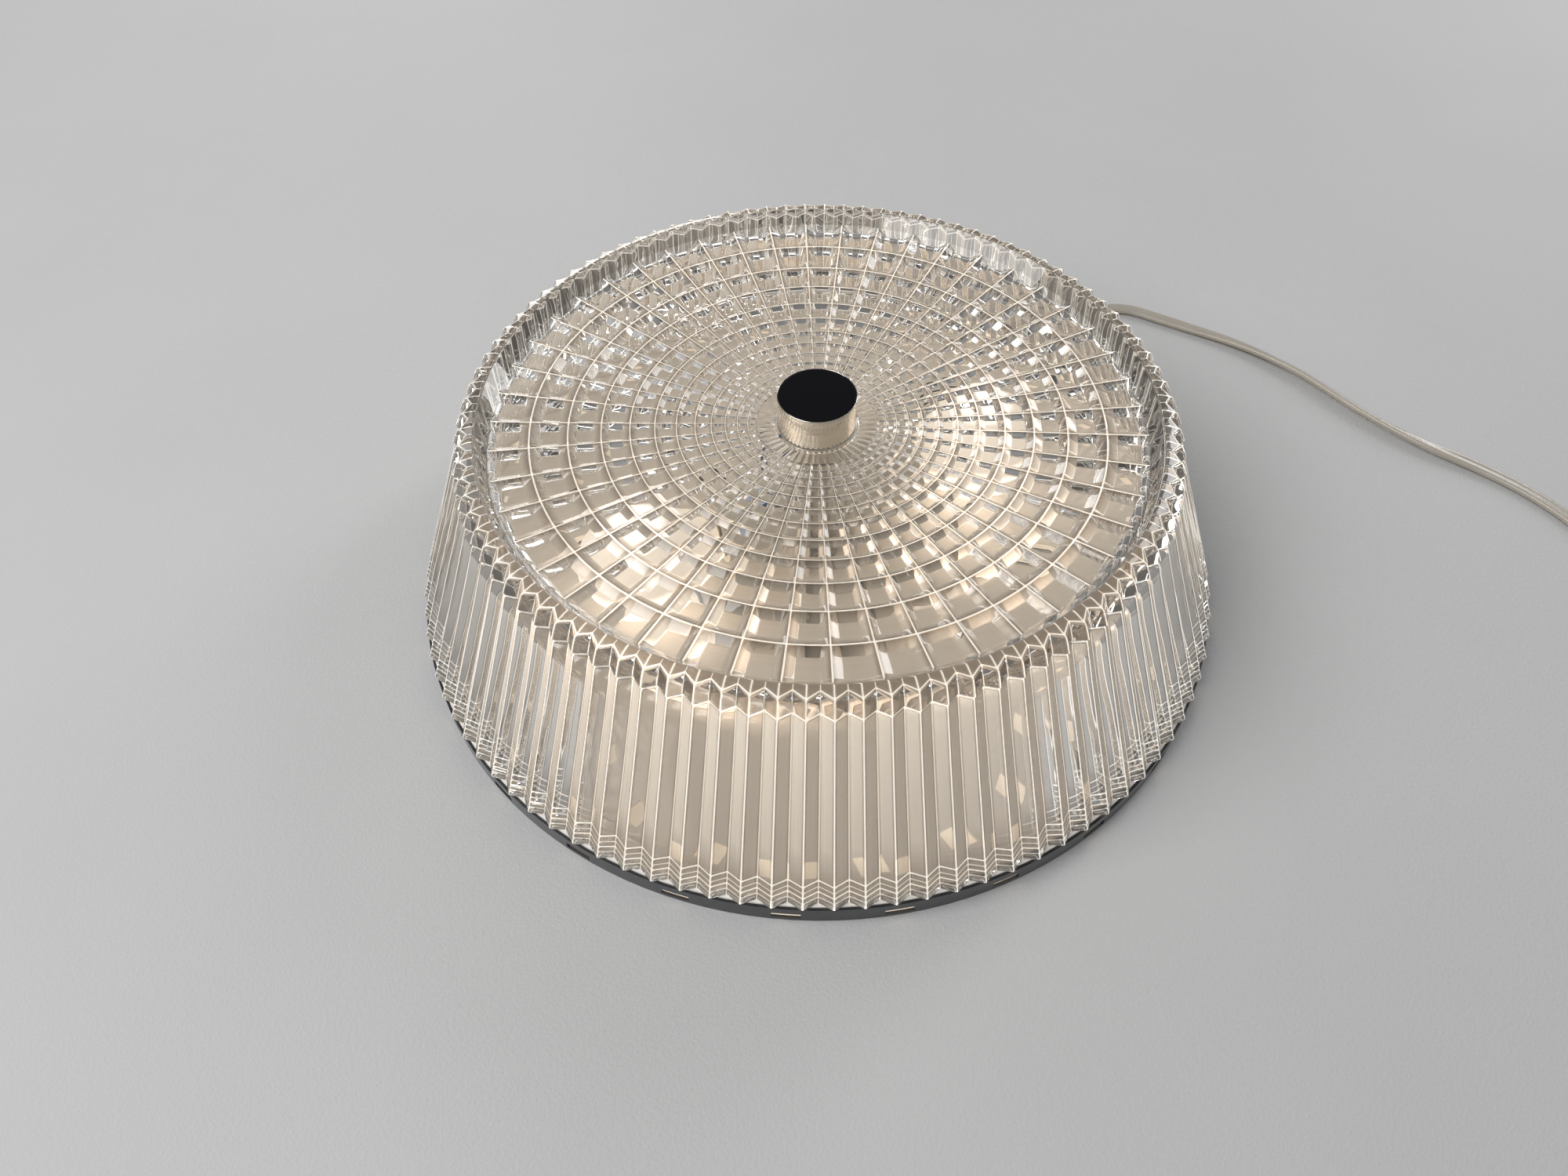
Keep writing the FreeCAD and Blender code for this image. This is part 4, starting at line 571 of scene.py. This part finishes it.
# Lampholders: cream glazed ceramic, uneven under the glaze and with small brown specks in it.
ceramic = Finish("socket_ceramic", coat_weight=0.6, coat_roughness=0.06)
speck = (ceramic.noise(1400.0, 1.0) > 0.72) * 0.5
ceramic.put("Base Color", ceramic.mix(speck, (0.82, 0.79, 0.72), (0.55, 0.50, 0.42)))
ceramic.put("Roughness", 0.30 + ceramic.noise(120.0) * 0.2)
ceramic.relief(ceramic.noise(420.0), 0.00008)
ceramic.on("lampholder_1", "lampholder_2")

# Screw shells, contacts and terminal sleeves: pressed brass, unevenly browned by the heat.
brass = Finish("brass", metallic=1.0)
browned = brass.noise(160.0, 4.0)
brass.put("Base Color", brass.mix(browned, (0.80, 0.62, 0.32), (0.62, 0.42, 0.20)))
brass.put("Roughness", 0.22 + browned * 0.25)
brass.relief(brass.noise(1800.0), 0.00003)
brass.on("socket_shell_1", "socket_shell_2")
brass.on("centre_contact_1", "centre_contact_2", "terminal_sleeves")

# Lamp caps: drawn aluminium, brushed round, on a black glass insulator.
cap_metal = Finish("cap_aluminium", metallic=1.0, base_color=(0.78, 0.78, 0.77))
cap_metal.put("Roughness", 0.24 + cap_metal.noise(900.0, 2.0, (4.0, 4.0, 0.4)) * 0.2)
cap_metal.relief(cap_metal.noise(2600.0), 0.00003)
cap_metal.on("lamp_cap_1", "lamp_cap_2")
insulator_finish = Finish("black_insulator", base_color=(0.015, 0.014, 0.018))
insulator_finish.put("Roughness", 0.08 + insulator_finish.noise(500.0) * 0.12)
insulator_finish.on("lamp_insulator_1", "lamp_insulator_2")

# The lamps: blown round globes, frosted inside, that burn warm white. The neck, further from
# the filament, is dimmer, and the crown and the side towards the tray are the brightest.
GLOBE_RADIUS = 22.5
GLOBE_CENTRE = 74.3
NECK_START = 44.0
NECK_RADIUS = 7.9
LAMP_AXIS = 36.0
LAMP_BEARINGS = {1: 27.0, 2: 207.0}
CROWN_START = 18.5
FILAMENT = GLOBE_CENTRE + 2.0
GLOW_REACH = 0.0302
# The neck is a cone that meets the globe without a kink.
to_neck = math.hypot(GLOBE_CENTRE - NECK_START, NECK_RADIUS)
lean = math.atan2(NECK_RADIUS, NECK_START - GLOBE_CENTRE) - math.acos(GLOBE_RADIUS / to_neck)
touch = (GLOBE_CENTRE + GLOBE_RADIUS * math.cos(lean), GLOBE_RADIUS * math.sin(lean))
up_neck = np.linspace(0.0, 1.0, 6)[:-1]
neck_out = NECK_START + (touch[0] - NECK_START) * up_neck
neck_wide = NECK_RADIUS + (touch[1] - NECK_RADIUS) * up_neck
bow = np.linspace(lean, 0.03, 30)
globe_out = np.concatenate([neck_out, GLOBE_CENTRE + GLOBE_RADIUS * np.cos(bow)])
globe_wide = np.concatenate([neck_wide, GLOBE_RADIUS * np.sin(bow)])
globe_turn = full_turn(64)[:, None]
upward = np.array([0.0, 0.0, 1.0])
for number, bearing in LAMP_BEARINGS.items():
    out = np.array([math.cos(math.radians(bearing)), math.sin(math.radians(bearing)), 0.0])
    beside = np.array([-out[1], out[0], 0.0])
    spine = out[None, :] * globe_out[:, None] + upward * LAMP_AXIS
    wheel = beside[None, :] * np.cos(globe_turn) + upward * np.sin(globe_turn)
    globe_rings = spine[:, None, :] + wheel[None, :, :] * globe_wide[:, None, None]
    name = "frosted_glass_%d" % number
    frosted = Finish(name, base_color=(0.92, 0.90, 0.86), emission_strength=1.0)
    heart = tuple(out * FILAMENT * MM + upward * (LAMP_AXIS * MM))
    away = frosted.vector("DISTANCE", frosted.place(), heart, output="Value")
    glow = 1.75 - away / GLOW_REACH * 0.95 + frosted.noise(90.0) * 0.1
    glow = glow.at_least(0.15).at_most(1.0)
    tray_side = ((LAMP_AXIS * MM - frosted.along("Z")) * 160.0 + 0.6).clamped()
    crown_side = ((frosted.along("Z") - (LAMP_AXIS + CROWN_START) * MM) * 400.0).clamped()
    lit = frosted.mix(tray_side, (0.56, 0.50, 0.43), (1.5, 1.3, 1.1))
    lit = frosted.mix(crown_side, lit, (1.2, 1.15, 1.1))
    frosted.put("Emission Color", frosted.mix(glow, (0.50, 0.30, 0.14), lit))
    frosted.put("Roughness", 0.42 + frosted.noise(1200.0) * 0.12)
    frosted.relief(frosted.noise(2200.0), 0.00004)
    globe = mesh_piece("frosted_globe_%d" % number, *capped(globe_rings), frosted)
    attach(globe, "lamp_%d" % number)
    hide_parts("lamp_globe_%d" % number)

# Terminal block and lead clamp: white nylon, slightly translucent, with a fine moulded grain.
nylon = Finish("white_nylon", subsurface_weight=0.15)
nylon.put("Base Color", nylon.mix(nylon.noise(150.0, 3.0), (0.80, 0.79, 0.75), (0.87, 0.86, 0.83)))
nylon.put("Roughness", 0.42 + nylon.noise(700.0) * 0.15)
nylon.relief(nylon.noise(1100.0), 0.00004)
nylon.on("terminal_block", "lead_clamp")

# Inner wires: brown and blue single cores, and the lead's own cores in pale plastic.
BROWN = (0.16, 0.060, 0.025), (0.21, 0.085, 0.040)
BLUE = (0.020, 0.085, 0.30), (0.035, 0.120, 0.38)
PALE = (0.70, 0.66, 0.58), (0.78, 0.75, 0.68)
for wire_name, nodes, (dark, light) in (
    ("wire_brown", ("live_wires",), BROWN),
    ("wire_blue", ("neutral_wires",), BLUE),
    ("lead_core_plastic", ("lead_cores", "supply_lead_inside"), PALE),
):
    sleeving = Finish(wire_name)
    sleeving.put("Base Color", sleeving.mix(sleeving.noise(110.0, 3.0), dark, light))
    sleeving.put("Roughness", 0.32 + sleeving.noise(600.0) * 0.15)
    sleeving.relief(sleeving.noise(1500.0), 0.00004)
    sleeving.on(*nodes)

# The glass shade, one heavy pressing. Its wall has 96 sharp ribs and a collar that stands a
# little proud; its dished face is a sunburst of 48 spokes and 12 rings of sunk cells, each with
# a flat floor and four sloping sides; the inside is plain.
RIBS = 96
SPOKES = 48
RINGS = 12
FIRST_RIB = math.radians(2.88)
FOOT = 8.65
FOOT_RADIUS = 160.0
RIB_DEPTH = 2.7
COLLAR_DEPTH = 2.9
UNDER_COLLAR = 73.0
TOP = 88.5
CROWN = 123.9
FACE = 119.5
OUTER_RING = 105.1
RING_RATIO = 1.152
CELL_DEPTH = 0.16
RING_SLOPE = 0.26
SPOKE_SLOPE = 0.24
CREST_ROUND = 0.13
# The crown's smooth slope is darkened as painted shade.
SLOPE_PAINTED_SHADE = 0.15
FLUTE = 15.6
SEAT = 76.6
HOLE = 6.0
FACE_THICKNESS = 7.6
LEAN = (FOOT_RADIUS - 129.2) / 79.9
INNER_FOOT = 152.6
INNER_BEND = 11.0
UNEVEN = 0.10
DISH_MIDDLE = 78.8
DISH_SLOPE = 0.02125
DISH_BOW = 0.0001523


def crest(radius):
    """Height of the face's crest lines: a shallow dish, a straight slope plus a parabola."""
    return DISH_MIDDLE + DISH_SLOPE * radius + DISH_BOW * radius**2


def laid_round(radius, angle, height):
    """Points at a radius and height, at an angle from the first rib's tip, which stands a
    little beside the front, on towards +X."""
    angle = angle + FIRST_RIB
    points = (radius * np.sin(angle), -radius * np.cos(angle), height + 0.0 * angle)
    return np.stack(points, axis=-1)


def joined(lower, lower_at, upper, upper_at):
    """Triangles between two closed rings of different counts, each given by its points' numbers
    and angles: every edge of one ring goes to the point of the other that is next in angle."""
    lower_end = np.append(lower_at[1:], 2 * np.pi)
    upper_end = np.append(upper_at[1:], 2 * np.pi)
    to_upper = np.searchsorted(upper_end, lower_end, side="left") % len(upper)
    to_lower = np.searchsorted(lower_end, upper_end, side="right") % len(lower)
    first = np.stack([lower, np.roll(lower, -1), upper[to_upper]], axis=-1)
    second = np.stack([lower[to_lower], np.roll(upper, -1), upper], axis=-1)
    return np.concatenate([first, second])


# Ribbed wall. Round one rib, from its tip to the valley and back: where the point stands, how
# far down to the valley it is, its painted edge light and shade (near 1: a painted bright line,
# near 0.2: a painted dark line, 0: none), and which flank it is on (+1 the one with painted light,
# -1 the one with painted shade). Narrow strips turn the straight flanks over at tip and valley.
rib_columns = np.array(
    [
        (0.0, 0.0, 1.0, 0.0),
        (0.03, 0.05, 0.45, -1.0),
        (0.08, 0.145, 0.0, -1.0),
        (0.42, 0.855, 0.0, -1.0),
        (0.465, 0.95, 0.25, 0.0),
        (0.50, 1.0, 0.75, 0.3),
        (0.535, 0.95, 0.25, 1.0),
        (0.58, 0.855, 0.0, 1.0),
        (0.92, 0.145, 0.0, 0.85),
        (0.97, 0.05, 0.45, 0.5),
    ]
)
rib_share = rib_columns[:, 0]
rib_fall, rib_edge, rib_side = (np.tile(column, RIBS)[None, :] for column in rib_columns.T[1:])
wall_angle = ((np.arange(RIBS)[:, None] + rib_share[None, :]) * 2 * np.pi / RIBS).ravel()
# Each mould line carries a painted highlight, with a painted dark line just under and over it.
mould_lines = [
    (line + step, proud, RIB_DEPTH, 0.0, light)
    for line, shine in ((3.0, 0.75), (5.3, 0.9), (7.4, 0.7), (9.9, 0.95))
    for step, proud, light in ((-0.5, 0.0, 0.15), (0.0, -0.35, shine), (0.5, 0.0, 0.15))
]
# Up the wall: height over the foot, how far the tips stand proud of the leaning wall, depth of
# the valleys, how far the tips are lower than the valleys, and the row's painted edge light and
# shade, as for the rib. From the foot up: the rounded foot, four fine mould lines, the wall, the
# groove under the collar, the collar and the gabled crown.
wall_rows = np.array(
    [
        (0.0, -0.95, RIB_DEPTH, 0.0, 0.5),
        (0.4, -0.15, RIB_DEPTH, 0.0, 0.5),
        (1.2, 0.10, RIB_DEPTH, 0.0, 0.1),
        (1.9, 0.0, RIB_DEPTH, 0.0, 0.0),
        *mould_lines,
        (24.0, 0.0, RIB_DEPTH, 0.0, 0.0),
        (40.0, 0.0, RIB_DEPTH, 0.0, 0.0),
        (56.0, 0.0, RIB_DEPTH, 0.0, 0.0),
        (71.3, 0.0, RIB_DEPTH, 0.0, 0.0),
        # From here the groove carries a painted bright line, the collar painted shade, and the
        # crown's edge a painted bright line with painted shade inside it.
        (71.9, -0.35, 2.8, 0.0, 0.8),
        (72.6, 0.20, COLLAR_DEPTH, 0.0, 0.3),
        (73.3, 0.90, COLLAR_DEPTH, 0.0, 0.22),
        (76.0, 0.70, COLLAR_DEPTH, 0.0, 0.18),
        (78.7, 0.45, COLLAR_DEPTH, 0.35, 0.22),
        (79.4, 0.25, COLLAR_DEPTH, 0.75, 0.1),
        (TOP - FOOT, -0.45, 2.6, 0.85, 0.9),
        (TOP - FOOT, -0.8, 2.37, 0.755, 0.3),
        (TOP - FOOT, -3.6, 0.5, 0.0, 0.2),
        (TOP - FOOT, -4.9, 0.0, 0.0, 0.2),
    ]
)
wall_up, wall_proud, wall_depth, tip_drop, row_edge = (row[:, None] for row in wall_rows.T)
wave = UNEVEN * np.sin(7 * wall_angle + 1.0) + 0.07 * np.sin(17 * wall_angle + 2.2)
wall_radius = FOOT_RADIUS - LEAN * wall_up + wall_proud - wall_depth * rib_fall
wall_radius = wall_radius - UNEVEN + UNEVEN * np.sin(wall_up * 0.09 + 3.0 * wave[None, :])
wall_height = FOOT + wall_up - tip_drop * (1.0 - rib_fall)
wall_points = laid_round(wall_radius, wall_angle[None, :], wall_height)
wall_edge = np.maximum(rib_edge, row_edge)
# Painted light and shade: of each rib's flanks one carries a painted glow of the lamps' light,
# most under the collar and towards the lamps' ends; the other carries painted shade, least where
# the front and the back are seen square on.
above_foot = np.clip((wall_up - 9.0) / 6.0, 0.0, 1.0) * (wall_up < UNDER_COLLAR)
up_wall = 0.3 + 0.7 * np.clip((wall_up - 15.0) / 56.0, 0.0, 1.0)
to_lamps = (0.55 + 0.45 * np.cos(2.0 * (wall_angle + 0.4)))[None, :]
to_sides = (0.5 + 0.5 * np.sin(wall_angle - 0.12) ** 2)[None, :]
lit_flank = np.maximum(rib_side, 0.0) * to_lamps
dark_flank = np.minimum(rib_side, 0.0) * to_sides
wall_flank = above_foot * (lit_flank * up_wall + dark_flank)

# Sunburst face: the depth under the crest is the lesser of the way down the nearest ring slope
# and the nearest spoke slope, eased at the crest and at the edge of the floor. The outermost
# cells have no outer slope: there the crown's slope comes down to their floor.
cell_share = np.array([0.0, 0.031, 0.12, 0.221, 0.259, 0.5, 0.741, 0.779, 0.88, 0.969])
row_share = np.array([0.0, 0.034, 0.24, 0.28, 0.72, 0.76, 0.966])
open_share = np.array([0.0, 0.03, 0.06, 0.09, 0.12, 0.15, 0.40, 0.72, 0.76, 0.966])
crown_rise = (TOP - 0.5 - crest(FACE)) / (CROWN - 0.5 - FACE)
face_angle = ((np.arange(SPOKES)[:, None] + cell_share[None, :]) * 2 * np.pi / SPOKES).ravel()
spoke_way = np.tile(np.minimum(cell_share, 1.0 - cell_share) / SPOKE_SLOPE, SPOKES)
ring_radii = np.concatenate([[FACE], OUTER_RING / RING_RATIO ** np.arange(RINGS)])
face_rows = []
for outer, inner in zip(ring_radii[:-1], ring_radii[1:]):
    outermost = outer == FACE
    share = open_share if outermost else row_share
    ring_way = (1.0 - share if outermost else np.minimum(share, 1.0 - share)) / RING_SLOPE
    ring_depth = np.full(len(share), CELL_DEPTH * (outer - inner))
    face_rows.append(np.stack([outer + (inner - outer) * share, ring_way, ring_depth], axis=-1))
face_radius, face_way, face_depth = (row[:, None] for row in np.concatenate(face_rows).T)
way_down = np.minimum(face_way, spoke_way[None, :])
eased = np.interp(way_down, [0.0, CREST_ROUND, 0.92, 1.08], [0.03, CREST_ROUND, 0.90, 1.0])
from_crown = crest(FACE) - (FACE - face_radius) * crown_rise
face_height = np.maximum(crest(face_radius) - face_depth * eased, from_crown)
face_points = laid_round(face_radius, face_angle[None, :], face_height)
# Painted edge light on the face: a painted bright line along each crest, a painted dark line just
# beside it.
face_edge = np.clip(1.0 - 0.8 * way_down / CREST_ROUND, 0.0, 1.0)

# Between the crown and the outer ring a smooth slope, and round the knob 48 shallow flutes
# that end at the sunk seat and its hole.
slope_rows = np.array(
    [
        (CROWN - 0.1, TOP - 0.1),
        (CROWN - 0.5, TOP - 0.5),
        (FACE + 0.3, crest(FACE) + 0.3 * crown_rise),
    ]
)
slope_points = laid_round(slope_rows[:, :1], face_angle[None, :], slope_rows[:, 1:])
inner_ring = ring_radii[-1]
flute_rows = np.array([inner_ring, inner_ring - 0.3, FLUTE + 0.5, FLUTE + 0.12, FLUTE])[:, None]
flute_share = np.tile(1.0 - np.abs(2.0 * cell_share - 1.0), SPOKES)[None, :]
flute_fall = np.array([0.0, 0.02, 0.86, 0.95, 1.25])[:, None] * flute_share
flute_points = laid_round(flute_rows, face_angle[None, :], crest(flute_rows) - flute_fall)
ceiling_hole = crest(HOLE) - FACE_THICKNESS
seat_rows = np.array(
    [
        (FLUTE, SEAT + 0.15),
        (FLUTE - 0.15, SEAT),
        (HOLE + 0.3, SEAT),
        (HOLE, SEAT - 0.3),
        (HOLE, ceiling_hole + 0.3),
    ]
)
seat_points = laid_round(seat_rows[:, :1], face_angle[None, :], seat_rows[:, 1:])

# Inside: from the hole out under the face, round a wide bend, and down the plain wall.
corner_radius = INNER_FOOT - LEAN * (crest(FACE) - FACE_THICKNESS - FOOT)
corner = np.array([corner_radius, crest(corner_radius) - FACE_THICKNESS])
bend_start = corner_radius - INNER_BEND
under_radius = np.array([HOLE + 0.3, 20.0, 40.0, 60.0, 80.0, 100.0, 108.0, bend_start])
under_rows = np.stack([under_radius, crest(under_radius) - FACE_THICKNESS], axis=-1)
bend_from = under_rows[-1]
bend_to = corner + INNER_BEND * np.array([LEAN, -1.0]) / math.hypot(LEAN, 1.0)
ease = np.linspace(0.0, 1.0, 9)[1:, None]
bend_rows = (1 - ease) ** 2 * bend_from + 2 * ease * (1 - ease) * corner + ease**2 * bend_to
drop = np.linspace(bend_to[1], FOOT + 0.4, 8)[1:]
down_rows = np.stack([INNER_FOOT - LEAN * (drop - FOOT), drop], axis=-1)
inner_rows = np.concatenate([under_rows, bend_rows, down_rows, [[INNER_FOOT + 0.4, FOOT]]])
inner_out, inner_up = inner_rows[:, :1], inner_rows[:, 1:]
inner_angle = full_turn(192)
ripple = UNEVEN * np.sin(5 * inner_angle + 0.6) + 0.07 * np.sin(11 * inner_angle + 2.0)
ripple = ripple + 0.04 * np.sin(23 * inner_angle)
calm = np.clip((inner_out - 20.0) / 60.0, 0.0, 1.0) * np.clip((inner_up - 9.5) / 12.0, 0.0, 1.0)
inner_radius = inner_out + calm * ripple[None, :] * np.cos(inner_up * 0.11)
inner_points = laid_round(inner_radius, inner_angle[None, :], inner_up)

face_all = np.concatenate([slope_points, face_points, flute_points, seat_points])
wall_count, face_count, inner_count = len(wall_angle), len(face_angle), len(inner_angle)
face_first = wall_points.shape[0] * wall_count
inner_first = face_first + face_all.shape[0] * face_count
inner_last = inner_first + (inner_points.shape[0] - 1) * inner_count
wall_foot = np.arange(wall_count)
wall_top = face_first - wall_count + np.arange(wall_count)
face_start = face_first + np.arange(face_count)
face_end = inner_first - face_count + np.arange(face_count)
inner_start = inner_first + np.arange(inner_count)
inner_end = inner_last + np.arange(inner_count)
glass_blocks = (wall_points, face_all, inner_points)
glass_points = np.concatenate([block.reshape(-1, 3) for block in glass_blocks])
quads = np.concatenate(
    [
        grid_faces(wall_points.shape[0], wall_count),
        grid_faces(face_all.shape[0], face_count, face_first),
        grid_faces(inner_points.shape[0], inner_count, inner_first),
    ]
)
seams = np.concatenate(
    [
        joined(wall_top, wall_angle, face_start, face_angle),
        joined(face_end, face_angle, inner_start, inner_angle),
        joined(inner_end, inner_angle, wall_foot, wall_angle),
    ]
)
# Painted shade on the crown's slope.
slope_edge = np.full(slope_points.shape[:2], SLOPE_PAINTED_SHADE)
plain_edge = [np.zeros(block.shape[:2]) for block in (flute_points, seat_points, inner_points)]
edge_blocks = (wall_edge, slope_edge, face_edge, *plain_edge)
shares = {
    "edge_light": np.concatenate([block.ravel() for block in edge_blocks]),
    "on_inside": np.where(np.arange(len(glass_points)) < inner_first, 0.0, 1.0),
    "flank_light": np.append(wall_flank.ravel(), np.zeros(len(glass_points) - wall_flank.size)),
}
# Painted light and shade on the glass: crests and rib tips carry a painted bright line between two
# thin painted dark lines, one flank of each rib a painted glow and the other painted shade, all
# the glass a faint painted glow, and the inside an amber tint that paints the warm lamps' light.
clear_glass = Finish("clear_glass", roughness=0.0, ior=1.5, transmission_weight=1.0)
clear_glass.relief(clear_glass.noise(45.0, 1.0), 0.00030)
edge = clear_glass.share("edge_light")
# Painted highlight: a bright line where the edge share is high.
bright_line = ((edge - 0.45) * 2.0).clamped()
# Painted shade: a dark line where the edge share is low but above zero.
dark_line = (edge * 5.0).at_most(1.0) * ((0.5 - edge) * 4.0).clamped()
# Painted light on the rib flanks where this share is above 0, painted shade where it is below 0.
flank = clear_glass.share("flank_light")
# Painted shade: the dark flank of each rib is tinted dark brown-grey.
painted_flank_shade = (flank * -1.0).clamped()
glass_with_painted_shade = clear_glass.mix(painted_flank_shade, (0.985, 0.988, 0.98), (0.32, 0.30, 0.27))
glass_with_painted_shade = clear_glass.mix(dark_line, glass_with_painted_shade, (0.32, 0.28, 0.24))
# Painted warm light: the inside of the glass is tinted amber, as if lit by the warm lamps.
painted_glass_colour = clear_glass.mix(clear_glass.share("on_inside"), glass_with_painted_shade, (0.87, 0.78, 0.675))
# Painted glow: the lit flank of each rib glows with painted lamp light, and all the rest of the
# glass with a faint painted glow.
flank_glow = clear_glass.mix(flank.clamped(), (0.012, 0.011, 0.010), (0.35, 0.315, 0.27))
clear_glass.put("Base Color", painted_glass_colour)
clear_glass.put("Emission Color", clear_glass.mix(bright_line, flank_glow, (0.80, 0.77, 0.70)))
clear_glass.put("Emission Strength", 1.0)
shade = mesh_piece("pressed_shade", glass_points, [quads, seams], clear_glass, **shares)
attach(shade, "shade")
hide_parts("glass_shade")

# Gasket: a clear silicone ring between the glass and the knob's washer.
silicone = Finish("clear_silicone", transmission_weight=0.6, ior=1.42)
silicone_clouds = silicone.noise(200.0)
silicone.put("Base Color", silicone.mix(silicone_clouds, (0.80, 0.80, 0.78), (0.88, 0.88, 0.86)))
silicone.put("Roughness", 0.40 + silicone.noise(900.0) * 0.15)
silicone.on("shade_gasket")

# The knob: a turned barrel in polished nickel round a threaded insert, closed by a disc in
# gloss black. Its edges are broken by a small radius.
KNOB_STEPS = 160
nickel = Finish("satin_nickel", metallic=1.0, base_color=(0.74, 0.70, 0.63))
lathe = nickel.noise(1500.0, 2.0, (0.04, 0.04, 3.0))
nickel.put("Roughness", 0.035 + lathe * 0.06)
nickel.relief(lathe, 0.000012)
nickel.on("knob_washer", "knob_insert")
# Its closed profile (radius, height), run so that the outside is on the right as it climbs.
barrel_rows = np.array(
    [
        (8.5, 78.4),
        (14.3, 78.4),
        (14.6, 78.5),
        (14.7, 78.8),
        (14.7, 80.0),
        (14.7, 85.4),
        (14.7, 91.0),
        (14.7, 92.0),
        (14.64, 92.28),
        (14.5, 92.4),
        (14.36, 92.3),
        (14.33, 92.0),
        (14.33, 91.1),
        (8.5, 91.1),
    ]
)
knob_turn = full_turn(KNOB_STEPS)[None, :]
barrel_points = laid_round(barrel_rows[:, :1], knob_turn, barrel_rows[:, 1:]).reshape(-1, 3)
barrel_faces = grid_faces(len(barrel_rows), KNOB_STEPS, closed_rows=True)
barrel = mesh_piece("knob_barrel", barrel_points, [barrel_faces], nickel)
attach(barrel, "knob")
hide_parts("knob_shell")
gloss_black = Finish("black_gloss", base_color=(0.004, 0.004, 0.005), specular_ior_level=0.12)
gloss_black.put("Roughness", 0.18 + gloss_black.noise(300.0, 4.0) * 0.06)
gloss_black.relief(gloss_black.noise(900.0), 0.00001)
disc_rows = np.array(
    [(14.2, 91.1), (14.3, 91.2), (14.3, 92.2), (14.22, 92.4), (14.05, 92.49), (13.7, 92.5)]
)
disc_rings = laid_round(disc_rows[:, :1], knob_turn, disc_rows[:, 1:])
disc = mesh_piece("black_disc", *capped(disc_rings), gloss_black)
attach(disc, "knob")
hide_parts("knob_disc")
